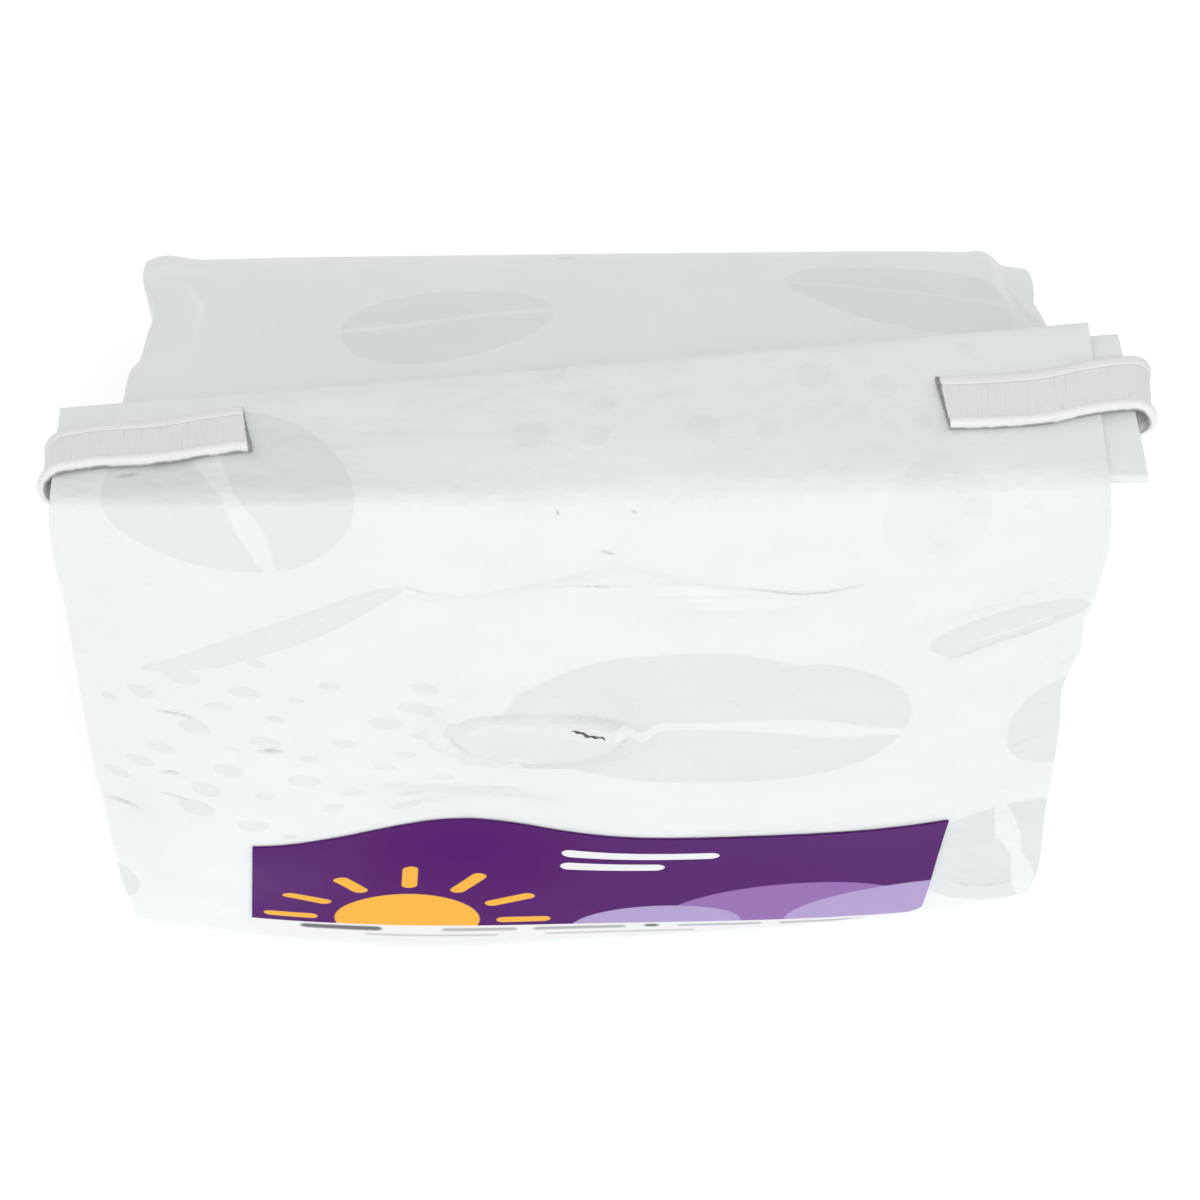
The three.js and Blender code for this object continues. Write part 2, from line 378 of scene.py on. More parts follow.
BACK_MARKS: tuple[Swell | Fold, ...] = (
    Fold((-60, 91), (-41.5, 90.3), 1.3, 9.0, 7.0, 0, 0.6),
    Fold((-43.8, 82), (-43.2, 108), 0.4, 1.6, 1.0, 0, 0.6),
    Fold((44.8, 50), (50.0, 115), -1.2, 1.2, 9.0, 0, 0),
    Fold((43.0, 50), (48.2, 115), 0.4, 1.3, 1.2, 0, 0.2),
    Swell((-47, 68.5), (3.0, 4.5), 1.1),
    Swell((12, 96), (16, 6), 0.35),
    Swell((-16, 84), (20, 6), -0.3),
    Fold((16, 74), (44, 104), 0.35, 4, 4, 2, 0.3),
    Fold((-34, 102), (-6, 110), -0.3, 3, 4, 1, 0.3),
    *random_folds(7, 16, 42, 6, 58, 0.7),
)


# The pack's surface


@dataclass(frozen=True)
class PackForm:
    """The surface of the filled pack: front, back, sides, base and the strip that is folded over the ridge.

    The named sizes are those of the solids, in mm.
    """

    film_width: float = 108.0
    ridge_height: float = 132.0
    neck_height: float = 121.5
    foot_radius: float = 5.0
    left_slope: float = math.radians(36.4)
    right_slope: float = math.radians(24.5)
    left_strip: float = 20.5
    right_strip: float = 26.1
    strip_thickness: float = 2.8
    strip_start: float = 4.0
    right_taper: float = 0.05
    left_edge: Stops = ((0, -28.4), (20, -28), (54, -27), (106, -26), (132, -25.6))
    right_edge: Stops = ((0, -24.9), (14, -25.9), (24, -26.1), (90, -26), (120, -25.4), (132, -23.7))
    bulge: Stops = ((0, 4.2), (30, 4.4), (42, 4.7), (60, 5.6), (80, 6.4), (100, 5.6), (122, 1.8), (132, 0))
    back_line: Stops = (
        (0, 31.2), (20, 32.2), (40, 32.4), (55, 31.6), (65.5, 30.0), (75, 26.2),
        (85.5, 20), (95.5, 12.2), (103.5, 4), (110.5, -5), (117, -14.5), (121.5, -22.2),
    )  # fmt: skip
    back_bulge: Stops = (
        (0, 1.5), (40, 2.6), (56, 1.4), (64, 0.3), (84, 0.4), (100, 2.4), (110, 2.6), (121.5, 0),
    )  # fmt: skip
    back_corner: Stops = ((0, 0), (50, 0.6), (64, 1.2), (84, 1.4), (100, 0.9), (112, 0))
    back_tilt: Stops = ((0, 0), (50, 0.004), (64, 0.0105), (84, 0.0105), (104, 0))
    front_left: Stops = (
        (0, 52.6), (7, 52.6), (17.6, 53.4), (44, 53.9), (54, 54.2), (80, 54.2), (106, 54.1), (121, 54.3),
        (132, 53.95),
    )  # fmt: skip
    front_right: Stops = (
        (0, 52.2), (9, 52.6), (15.7, 53), (30.8, 52.7), (42, 52.5), (49, 52.6), (69.8, 52.3), (79.9, 51.9),
        (85.8, 52.4), (91.5, 53.2), (100.8, 53.1), (105, 53.7), (112, 54), (120, 54.4), (132, 54.0),
    )  # fmt: skip
    back_left: Stops = (
        (0, 50.5), (30, 49), (45, 48), (58, 47.8), (66, 48.6), (75, 48.6), (84, 48.1), (88, 47.7),
        (90.2, 47.4), (92.2, 46.7), (93.8, 46.1), (95.8, 46), (99, 46.5), (102.7, 47), (103.8, 47.8),
        (107, 48.2), (114, 48.5), (118, 50), (121.5, 52.5),
    )  # fmt: skip
    back_right: Stops = (
        (0, 51), (30, 50), (45, 49), (58, 48.9), (66, 49.3), (74, 49.5), (81, 49.6), (87, 49.4), (89, 49.2),
        (91.5, 49.8), (94, 50.3), (97, 50.5), (104, 50), (112, 48.5), (118, 50), (121.5, 52.5),
    )  # fmt: skip
    gusset: Stops = ((0, 0), (25, 0.5), (60, 5), (100, 8), (118, 5), (132, 0))
    sag: float = 2.4
    sag_at: float = 4.0
    sag_reach: float = 22.0
    sag_from: float = 108.0
    sag_over: float = 12.0
    bulge_power: float = 2.4
    corner_power: float = 12.0
    back_half: float = 50.0
    calm_edge: Place = (47.0, 54.0)
    calm_ridge: Place = (129.5, 132.0)
    front_marks: tuple[Swell | Fold, ...] = FRONT_MARKS
    back_marks: tuple[Swell | Fold, ...] = BACK_MARKS
    valve: Valve = Valve()

    def share(self, x: np.ndarray) -> np.ndarray:
        """Gives how far along the front each x lies, from 0 at the left to 1 at the right."""
        return np.clip(x / self.film_width + 0.5, 0, 1)

    def front_y(self, x: np.ndarray, z: np.ndarray) -> np.ndarray:
        """Gives the front panel's Y, with its swells and folds.

        Args:
            x: Places across.
            z: Places up.

        Returns:
            The Y at each place.
        """
        share = self.share(x)
        edge = mix(along(self.left_edge, z), along(self.right_edge, z), share)
        swell = along(self.bulge, z) * (1 - np.abs(2 * share - 1) ** self.bulge_power)
        calm = 1 - ease(np.abs(x), *self.calm_edge)
        raised = sum_of(self.front_marks, x, z) * calm * (1 - ease(z, *self.calm_ridge))
        return edge - swell - raised - self.valve.lift(x, z)

    def back_y(self, x: np.ndarray, z: np.ndarray) -> np.ndarray:
        """Gives the back panel's Y, in the same way."""
        side = np.minimum(1, np.abs(x) / self.back_half)
        bulge = along(self.back_bulge, z) * side**self.bulge_power
        bulge = bulge + along(self.back_corner, z) * side**self.corner_power
        return along(self.back_line, z) - bulge + along(self.back_tilt, z) * x + sum_of(self.back_marks, x, z)

    def ridge_sag(self, x: np.ndarray) -> np.ndarray:
        """Gives how far the ridge hangs below its straight line."""
        return self.sag * np.exp(-(((x - self.sag_at) / self.sag_reach) ** 2))

    def strip_width(self, x: np.ndarray) -> np.ndarray:
        """Gives the distance from the ridge to the strip's far edge."""
        return mix(self.left_strip, self.right_strip, x / self.film_width + 0.5)

    def strip_point(self, x: np.ndarray, h: np.ndarray, n: np.ndarray) -> np.ndarray:
        """Places points of the folded strip.

        Args:
            x: Across.
            h: Away from the ridge.
            n: Down from the upper face.

        Returns:
            The points, one a row.
        """
        x, h, n = np.broadcast_arrays(np.asarray(x, float), h, n)
        slope = mix(self.left_slope, self.right_slope, x / self.film_width + 0.5)
        sag = self.ridge_sag(x) * (1 - ease(h, 0, self.sag_over))
        y = self.front_y(x, np.full(x.shape, self.ridge_height)) + h * np.cos(slope) - n * np.sin(slope)
        z = self.ridge_height - h * np.sin(slope) - n * np.cos(slope) - sag
        return np.stack([x, y, z], -1)


# Meshes, placed point by point


def nothing_selected() -> None:
    """Leaves edit mode and deselects everything."""
    if bpy.context.object and bpy.context.object.mode != "OBJECT":
        bpy.ops.object.mode_set(mode="OBJECT")
    bpy.ops.object.select_all(action="DESELECT")


class Sheet:
    """A piece that starts as the flat grid primitive and is then shaped, closed and finished."""

    def __init__(self, name: str, columns: int, rows: int) -> None:
        """Adds the flat grid.

        Args:
            name: The piece's name.
            columns: How many points it has across.
            rows: How many points it has up.
        """
        nothing_selected()
        bpy.ops.mesh.primitive_grid_add(x_subdivisions=columns - 1, y_subdivisions=rows - 1, size=1)
        self.piece = bpy.context.object
        self.piece.name = name
        self.piece.data.name = name

    def shape(self, points: np.ndarray, flat: np.ndarray) -> None:
        """Moves the grid's points, and gives the piece its flat coordinates.

        Args:
            points: Rows by columns by 3, in mm.
            flat: Rows by columns by 2: the place of each point on the flat film, in UV units.
        """
        mesh = self.piece.data
        mesh.vertices.foreach_set("co", (points.reshape(-1, 3) * MM).astype(np.float32).ravel())
        corner = np.empty(len(mesh.loops), np.int32)
        mesh.loops.foreach_get("vertex_index", corner)
        mesh.uv_layers[0].data.foreach_set("uv", flat.reshape(-1, 2)[corner].astype(np.float32).ravel())
        mesh.update()

    def pick(self) -> None:
        """Selects the piece alone and makes it the active object."""
        nothing_selected()
        self.piece.select_set(True)
        bpy.context.view_layer.objects.active = self.piece

    def close(self, gap: float = 0.002) -> None:
        """Joins points that lie together and turns all faces outwards.

        Args:
            gap: How close two points have to be, in mm.
        """
        self.pick()
        bpy.ops.object.mode_set(mode="EDIT")
        bpy.ops.mesh.select_all(action="SELECT")
        bpy.ops.mesh.remove_doubles(threshold=gap * MM)
        bpy.ops.mesh.dissolve_degenerate(threshold=gap * 0.1 * MM)
        bpy.ops.mesh.select_all(action="SELECT")
        bpy.ops.mesh.normals_make_consistent(inside=False)
        bpy.ops.object.mode_set(mode="OBJECT")

    def thicken(self, thickness: float, offset: float = -1.0) -> None:
        """Gives an open sheet its wall.

        Args:
            thickness: The wall, in mm.
            offset: -1 to grow inwards, 1 outwards.
        """
        wall = self.piece.modifiers.new("wall", "SOLIDIFY")
        wall.thickness = thickness * MM
        wall.offset = offset
        self.apply("wall")

    def apply(self, name: str) -> None:
        """Applies one of the piece's modifiers."""
        self.pick()
        bpy.ops.object.modifier_apply(modifier=name)

    def smooth(self, angle: float = 40.0) -> None:
        """Shades the piece smooth up to an angle, in degrees."""
        self.pick()
        bpy.ops.object.shade_smooth_by_angle(angle=math.radians(angle))

    def hand_in(self, slot: str, material: bpy.types.Material, *nodes: str) -> bpy.types.Object:
        """Dresses the piece, and says what it rides on and stands for.

        Args:
            slot: Not used.
            material: The finish.
            *nodes: The solids that the piece stands for.

        Returns:
            The piece.
        """
        self.piece.data.materials.clear()
        self.piece.data.materials.append(material)
        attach(self.piece, BODY)
        if nodes:
            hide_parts(*nodes)
        LOG.info("%s: %d faces", self.piece.name, len(self.piece.data.polygons))
        return self.piece


class Panel(Enum):
    """The four walls of the film tube."""

    FRONT = 0
    RIGHT = 1
    BACK = 2
    LEFT = 3


FLAT_SCALE = 1 / 400  # UV units for each mm of flat film
GUSSET_WIDTH = 63.5


@dataclass
class FilmPack:
    """The filled pack as one closed skin of film, from the base over the ridge to the strip's far edge."""

    form: PackForm
    front_steps: int = 140
    side_steps: int = 26
    back_steps: int = 140
    base_rows: int = 20
    foot_rows: int = 9
    body_rows: int = 150
    fine_rows: int = 56
    fine_from: float = 0.84
    soft_rows: float = 17.0
    strip_soft_rows: float = 5.0
    soft_passes: int = 80
    strip_rows: int = 40
    neck_blend: Place = (0.1, 0.6)
    bluntness: float = 0.0025
    strip_notch: float = 6.0
    strip_inset: float = 0.1
    base_half: float = 22.0
    base_middle: float = 2.0
    base_lift: float = 0.02
    flat_base: float = 30.0
    flat_strip: float = 21.0
    flat_start: float = 40.0
    join_gap: float = 0.02

    def columns(self) -> tuple[np.ndarray, np.ndarray]:
        """Lists the panel and the share of its width for each column.

        Returns:
            The panels' numbers, and the shares.
        """
        panels, shares = [], []
        steps = {
            Panel.FRONT: self.front_steps,
            Panel.RIGHT: self.side_steps,
            Panel.BACK: self.back_steps,
            Panel.LEFT: self.side_steps,
        }
        for panel, count in steps.items():
            panels += [panel.value] * count
            shares += list(np.arange(count) / count)
        return np.array(panels + [Panel.LEFT.value]), np.array(shares + [1.0])

    def width_share(self, panel: np.ndarray, t: np.ndarray) -> np.ndarray:
        """Gives how far across the pack each column lies, from 0 at the left to 1 at the right."""
        return np.select([panel == 0, panel == 1, panel == 2], [t, np.ones_like(t), 1 - t], np.zeros_like(t))

    def gusset_fold(self, t: np.ndarray) -> np.ndarray:
        """Gives the depth of a side's fold, from 0 at its edges to 1 at its middle line."""
        return math.sqrt(1 + self.bluntness) - np.sqrt((2 * t - 1) ** 2 + self.bluntness)

    def gusset_wave(self, to_back: np.ndarray, side: np.ndarray, z: np.ndarray, share: float) -> np.ndarray:
        """Gives the soft unevenness of the sides, inwards.

        Args:
            to_back: Each column's share of the side, from the front.
            side: 1 at the right and -1 at the left.
            z: The ring's height.
            share: Its share of the body's height.

        Returns:
            How far each point stands in, in mm.
        """
        depth, least, wave_length = 0.7, 0.6, 26
        uneven = least + buckles(11, to_back * 50 + 30 * side, z, wave_length)
        return np.maximum(uneven * depth * np.sin(math.pi * to_back), 0) * ease(share, 0, 0.15)

    def body_ring(self, panel: np.ndarray, t: np.ndarray, share: float) -> np.ndarray:
        """Places one ring of the body.

        Args:
            panel: Each column's panel.
            t: Each column's share of it.
            share: The ring's share of the body's height.

        Returns:
            The points, one a column.
        """
        form = self.form
        zf = np.full(panel.shape, share * form.ridge_height)
        zb = np.minimum(zf, mix(zf, share * form.neck_height, ease(share, *self.neck_blend)))
        inset = rounded_in(form.foot_radius, zf)
        left, right = along(form.front_left, zf) - inset, along(form.front_right, zf) - inset
        back_left, back_right = along(form.back_left, zb) - inset, along(form.back_right, zb) - inset
        front_x = mix(-left, right, t)
        back_x = mix(back_right, -back_left, t)
        low = form.ridge_sag(front_x) * ease(zf, form.sag_from, form.ridge_height)
        front = np.stack([front_x, form.front_y(front_x, zf) + inset, zf - low], -1)
        rear = np.stack([back_x, form.back_y(back_x, zb) - inset, zb], -1)
        to_back = np.where(panel == Panel.RIGHT.value, t, 1 - t)
        side = np.where(panel == Panel.RIGHT.value, 1.0, -1.0)
        x0, x1 = np.where(side > 0, right, -left), np.where(side > 0, back_right, -back_left)
        y0, y1 = form.front_y(x0, zf) + inset, form.back_y(x1, zb) - inset
        fold = along(form.gusset, zf) * self.gusset_fold(to_back)
        wall_x = mix(x0, x1, to_back) - side * (fold + self.gusset_wave(to_back, side, zf, share))
        wall = np.stack([wall_x, mix(y0, y1, to_back), mix(zf, zb, to_back)], -1)
        is_front, is_back = (panel == Panel.FRONT.value)[:, None], (panel == Panel.BACK.value)[:, None]
        return np.where(is_front, front, np.where(is_back, rear, wall))

    def strip_ring(self, panel: np.ndarray, t: np.ndarray, s: float) -> np.ndarray:
        """Places one ring of the folded strip.

        Args:
            panel: Each column's panel.
            t: Each column's share of it.
            s: The ring's share of the strip's width.

        Returns:
            The points, one a column.
        """
        wave_height, wave_length = 0.35, 34
        form = self.form
        half = form.film_width / 2
        is_front, is_right, is_left = (panel == side.value for side in (Panel.FRONT, Panel.RIGHT, Panel.LEFT))
        share = self.width_share(panel, t)
        to_back = np.select([is_front, is_right, is_left], [0 * t, t, 1 - t], np.ones_like(t))
        wide = form.strip_width(mix(-half, half, share))
        h = mix(s * wide, mix(form.strip_start, wide, s), to_back)
        notch = self.strip_notch * self.gusset_fold(to_back) * (1 - ease(s, 0.9, 1))
        x = mix(-half + self.strip_inset, half - form.right_taper * h, share) - np.where(is_right, notch, 0)
        x = x + np.where(is_left, notch, 0)
        edge = rounded_in(form.strip_thickness / 2, wide - h)
        wave = wave_height * buckles(5, x, h, wave_length) * ease(s, 0, 0.3)
        wave = wave * (1 - to_back)
        depth = mix(edge, form.strip_thickness - edge, to_back)
        return form.strip_point(x, h, depth + wave * (1 - ease(s, 0.85, 1)))

    def base_ring(self, rim: np.ndarray, share: np.ndarray, f: float) -> np.ndarray:
        """Places one ring of the base, between its rim and its middle line.

        Args:
            rim: The lowest ring of the body.
            share: How far across the pack each column lies.
            f: 0 at the rim, 1 at the middle line.

        Returns:
            The points, one a column.
        """
        x = mix(rim[:, 0], self.base_half * (2 * share - 1), f)
        y = mix(rim[:, 1], self.base_middle, f)
        return np.stack([x, y, np.full(x.shape, self.base_lift)], -1)

    def body_shares(self) -> np.ndarray:
        """Lists the body's rings: those of the round foot, the plain part and the fine part.

        Returns:
            Their shares of the body's height.
        """
        foot, last = self.form.foot_radius / self.form.ridge_height, 0.9965
        turn = np.linspace(0, math.pi / 2, self.foot_rows, endpoint=False)
        plain = np.linspace(foot, self.fine_from, self.body_rows, endpoint=False)
        fine = np.linspace(self.fine_from, last, self.fine_rows)
        return np.concatenate([foot * (1 - np.cos(turn)), plain, fine])

    def strip_shares(self) -> np.ndarray:
        """Lists the strip's rings, as shares of its width, closer together at its far edge.

        Returns:
            The shares, in rising order.
        """
        closer = 0.35
        even = np.linspace(0, 1, self.strip_rows)
        shares = np.sin(np.linspace(0, math.pi / 2, self.strip_rows)) * closer + (1 - closer) * even
        return np.concatenate([[0.006, 0.018], shares[1:]])

    def build(self, material: bpy.types.Material) -> bpy.types.Object:
        """Builds the skin.

        Args:
            material: The printed film.

        Returns:
            The piece.
        """
        form = self.form
        panel, t = self.columns()
        shares, strips = self.body_shares(), self.strip_shares()
        rings = [self.body_ring(panel, t, s) for s in shares] + [self.strip_ring(panel, t, s) for s in strips]
        to_rim = np.linspace(1, 0, self.base_rows, endpoint=False)
        base = [self.base_ring(rings[0], self.width_share(panel, t), f) for f in to_rim]
        points = self.soften(np.array(base + rings), panel, len(base) + len(shares))
        low = np.linspace(-self.flat_base, 0, self.base_rows, endpoint=False)
        up = np.concatenate([low, shares * form.ridge_height, form.ridge_height + strips * self.flat_strip])
        across = self.flat_across(panel, t)
        flat = np.stack(np.broadcast_arrays(across[None, :], up[:, None] + self.flat_start), -1) * FLAT_SCALE
        sheet = Sheet("film_pack", len(panel), len(points))
        sheet.shape(points, flat)
        sheet.close(self.join_gap)
        sheet.smooth(50)
        return sheet.hand_in("film", material, "bag")

    def soften(self, points: np.ndarray, panel: np.ndarray, ridge: int) -> np.ndarray:
        """Rounds the ridge by averaging the rows near it.

        Args:
            points: Rows by columns by 3.
            panel: Each column's panel.
            ridge: The row that lies on the ridge.

        Returns:
            The points, with a round ridge.
        """
        rows = np.arange(len(points))
        reach = np.where(rows < ridge, self.soft_rows, self.strip_soft_rows)
        weight = np.exp(-(((rows - ridge) / reach) ** 4))[:, None, None]
        weight = weight * np.where(panel == Panel.BACK.value, 0.0, 1.0)[None, :, None]
        for _ in range(self.soft_passes):
            mean = points.copy()
            mean[1:-1] = (points[:-2] + 2 * points[1:-1] + points[2:]) / 4
            points = points + (mean - points) * weight
        return points

    def flat_across(self, panel: np.ndarray, t: np.ndarray) -> np.ndarray:
        """Gives each column's place across the flat film, from 0 at the front's left edge.

        Args:
            panel: Each column's panel.
            t: Each column's share of it.

        Returns:
            The places, in mm.
        """
        width, gusset = self.form.film_width, GUSSET_WIDTH
        widths = np.array([width, gusset, width, gusset])
        starts = np.cumsum(widths) - widths
        return starts[panel] + t * widths[panel]


@dataclass
class InnerTurns:
    """The inner turns of the roll: one long strip of film, wound flat, that sticks out at the right."""

    form: PackForm
    shift: float = 4.2
    start: float = 16.0
    taper: float = 0.1
    turns: float = 2.6
    margin: float = 3.0
    spare: float = 5.0
    pitch: float = 0.45
    half_thick: float = 0.82
    thinning: float = 0.2
    wall: float = 0.12
    columns: int = 40
    rows: int = 150

    def build(self, material: bpy.types.Material) -> bpy.types.Object:
        """Builds the wound film.

        Args:
            material: The film's finish.

        Returns:
            The piece.
        """
        form = self.form
        angle = np.linspace(0, self.turns * math.tau, self.rows)[:, None]
        across = np.linspace(self.start, form.film_width / 2 + self.shift, self.columns)[None, :]
        spent = angle / math.tau
        reach = (form.strip_width(across) - self.spare) / 2
        half = reach - self.pitch * spent
        thick = (self.half_thick - self.thinning * spent) * mix(0.6, 1.0, ease(across, 40, 54))
        c, s = np.cos(angle), np.sin(angle)
        h = self.margin + reach + half * np.sign(c) * np.abs(c) ** 0.3
        n = form.strip_thickness / 2 - thick * np.sign(s) * np.abs(s) ** 0.5
        taper = self.taper * h * ease(across, 0, 54)
        points = form.strip_point(across - taper, h, n)
        flat = np.stack(np.broadcast_arrays(across + 350, angle * 4 + 20), -1) * FLAT_SCALE
        sheet = Sheet("inner_turns", self.columns, self.rows)
        sheet.shape(points, flat)
        sheet.thicken(self.wall)
        sheet.smooth(50)
        return sheet.hand_in("film", material)


@dataclass
class TinTie:
    """The flat tie: two wires in a band, folded round both ends of the strip."""

    form: PackForm
    width: float = 7.7
    left_end: float = -34.2
    right_end: float = 37.2
    left_turn: float = -54.6
    right_turn: float = 58.4
    gap: float = 0.3
    web: float = 0.4
    edge: float = 0.12
    rib: float = 0.9
    far_rib: float = 0.6
    slant: float = 1.3
    wire_at: float = 0.42
    wire_half: float = 0.08
    web_half: float = 0.3
    end_steps: int = 26
    under_steps: int = 60
    turn_steps: int = 19
    flat_middle: float = 20.0
    middle: Stops = (
        (-56, 9.6), (-53.5, 10.1), (-50, 11.0), (-43.5, 11.4), (-34, 13.2), (37, 13.4), (43, 13.4),
        (48, 13.8), (52, 14.8), (56, 15.4), (60, 15.5),
    )  # fmt: skip

    def path(self) -> np.ndarray:
        """Lists the points of the tie's inner face, as across and down from the strip's upper face.

        Returns:
            The points, one a row, from the left end to the right end.
        """
        low, high = -self.gap, self.form.strip_thickness + self.gap
        centre, half = (low + high) / 2, (high - low) / 2
        turn = np.linspace(0, math.pi, self.turn_steps)[1:-1]
        left, right = self.left_turn + half, self.right_turn - half

        def straight(start: float, end: float, depth: float, count: int) -> np.ndarray:
            """Lists the points of a straight stretch at one depth."""
            return np.stack([np.linspace(start, end, count), np.full(count, depth)], -1)

        runs = [
            straight(self.left_end, left, low, self.end_steps),
            np.stack([left - half * np.sin(turn), centre - half * np.cos(turn)], -1),
            straight(left, right, high, self.under_steps),
            np.stack([right + half * np.sin(turn), centre + half * np.cos(turn)], -1),
            straight(right, self.right_end, low, self.end_steps),
        ]
        return np.concatenate(runs)

    def steps(self) -> np.ndarray:
        """Gives the way along the band to each point of its path."""
        return np.concatenate([[0], np.cumsum(np.linalg.norm(np.diff(self.path(), axis=0), axis=1))])

    def section(self) -> tuple[np.ndarray, np.ndarray]:
        """Lists the band's outline, going round it once.

        Returns:
            Each point's share across the band, from -0.5 to 0.5, and its height over the inner face.
        """
        steps = 11
        rib = self.wire_at + self.wire_half * np.sin(np.linspace(-math.pi / 2, math.pi / 2, steps))
        across = np.concatenate([-rib[::-1], np.linspace(-self.web_half, self.web_half, steps), rib])
        wire = np.clip(1 - ((np.abs(across) - self.wire_at) / self.wire_half) ** 2, 0, 1)
        outer = self.web + (np.where(across > 0, self.far_rib, self.rib) - self.web) * np.sqrt(wire)
        outer[[0, -1]] = self.edge
        lane = np.concatenate([across, across[::-1], across[:1]])
        return lane, np.concatenate([outer, 0 * outer, outer[:1]])

    def build(self, material: bpy.types.Material) -> bpy.types.Object:
        """Builds the tie.

        Args:
            material: Its finish.

        Returns:
            The piece.
        """
        path = self.path()
        lane, height = self.section()
        way = np.gradient(path, axis=0)
        way /= np.linalg.norm(way, axis=1)[:, None]
        out = np.stack([-way[:, 1], way[:, 0]], -1)
        length = self.steps()
        last = len(path) - 1
        points, flat = [], []
        for row in range(-1, len(path) + 1):
            i = min(max(row, 0), last)
            shut = 1.0 if row == i else 0.0
            slant = self.slant * lane * (i in (0, last))
            x = path[i, 0] + out[i, 0] * height * shut - slant
            n = path[i, 1] + out[i, 1] * height * shut
            h = along(self.middle, path[i, 0]) + lane * self.width
            points.append(self.form.strip_point(x, h, n))
            flat.append(np.stack([np.full(lane.shape, length[i]), lane * self.width + self.flat_middle], -1))
        sheet = Sheet("tie_band", len(lane), len(points))
        sheet.shape(np.array(points), np.array(flat) * FLAT_SCALE)
        sheet.close()
        sheet.smooth(35)
        return sheet.hand_in("tie", material, "tin_tie")


@dataclass
class Label:
    """The label, a thin sheet that follows the front panel."""

    form: PackForm
    centre: Place = (1.3, 24.6)
    width: float = 78.4
    height: float = 36.0
    corner: float = 2.4
    turn: float = -0.012
    lean: float = 0.035
    gap: float = 0.12
    thickness: float = 0.15
    columns: int = 121
    rows: int = 61

    def build(self, material: bpy.types.Material) -> bpy.types.Object:
        """Builds the label.

        Args:
            material: Its print.

        Returns:
            The piece.
        """
        v = 0.5 * np.sin(np.linspace(-math.pi / 2, math.pi / 2, self.rows))[:, None] * self.height
        inset = np.where(v < 0, rounded_in(self.corner, self.height / 2 + v), 0.0)
        u = np.linspace(-0.5, 0.5, self.columns)[None, :] * (self.width - 2 * inset)
        v = v + 0 * u
        c, s = math.cos(self.turn), math.sin(self.turn)
        x, z = self.centre[0] + u * c - v * s + self.lean * v, self.centre[1] + u * s + v * c
        y = self.form.front_y(x, z) - self.gap
        sheet = Sheet("label_sheet", self.columns, self.rows)
        flat = np.stack([u + self.width / 2, v + self.height / 2], -1) * FLAT_SCALE
        sheet.shape(np.stack([x, y, z], -1), flat)
        sheet.thicken(self.thickness, 1.0)
        sheet.smooth(40)
        return sheet.hand_in("label", material, "label")


@dataclass
class ValveSlit:
    """The small torn slit over the valve, a dark ragged sliver in the film."""

    form: PackForm
    start: Place = (-1.0, 88.0)
    end: Place = (2.6, 84.9)
    half_width: float = 0.42
    lift: float = 0.05
    crown: float = 0.04
    thickness: float = 0.04
    columns: int = 29
    rows: int = 7

    def build(self, material: bpy.types.Material) -> bpy.types.Object:
        """Builds the slit.

        Args:
            material: The dark finish of its depth.

        Returns:
            The piece.
        """
        random = np.random.default_rng(3)
        t = np.linspace(0, 1, self.columns)[None, :]
        lane = np.linspace(-1, 1, self.rows)[:, None]
        notches = 12
        ragged = np.interp(t[0], np.linspace(0, 1, notches), random.uniform(0.45, 1.15, notches))[None, :]
        wide = self.half_width * np.sqrt(np.sin(math.pi * t).clip(0.0004)) * ragged
        bend = 0.35 * np.sin(t * 9.0) + 0.25 * np.sin(t * 23.0)
        x = mix(self.start[0], self.end[0], t) + 0.6 * lane * wide
        z = mix(self.start[1], self.end[1], t) + bend + lane * wide
        y = self.form.front_y(x, z) - self.lift - self.crown * (1 - lane**2)
        sheet = Sheet("valve_slit", self.columns, self.rows)
        flat = np.stack(np.broadcast_arrays(t * 4 + 10, lane + 10), -1) * FLAT_SCALE
        sheet.shape(np.stack([x, y, z], -1), flat)
        sheet.thicken(self.thickness)
        sheet.smooth(40)
        return sheet.hand_in("film", material)


# Finishes


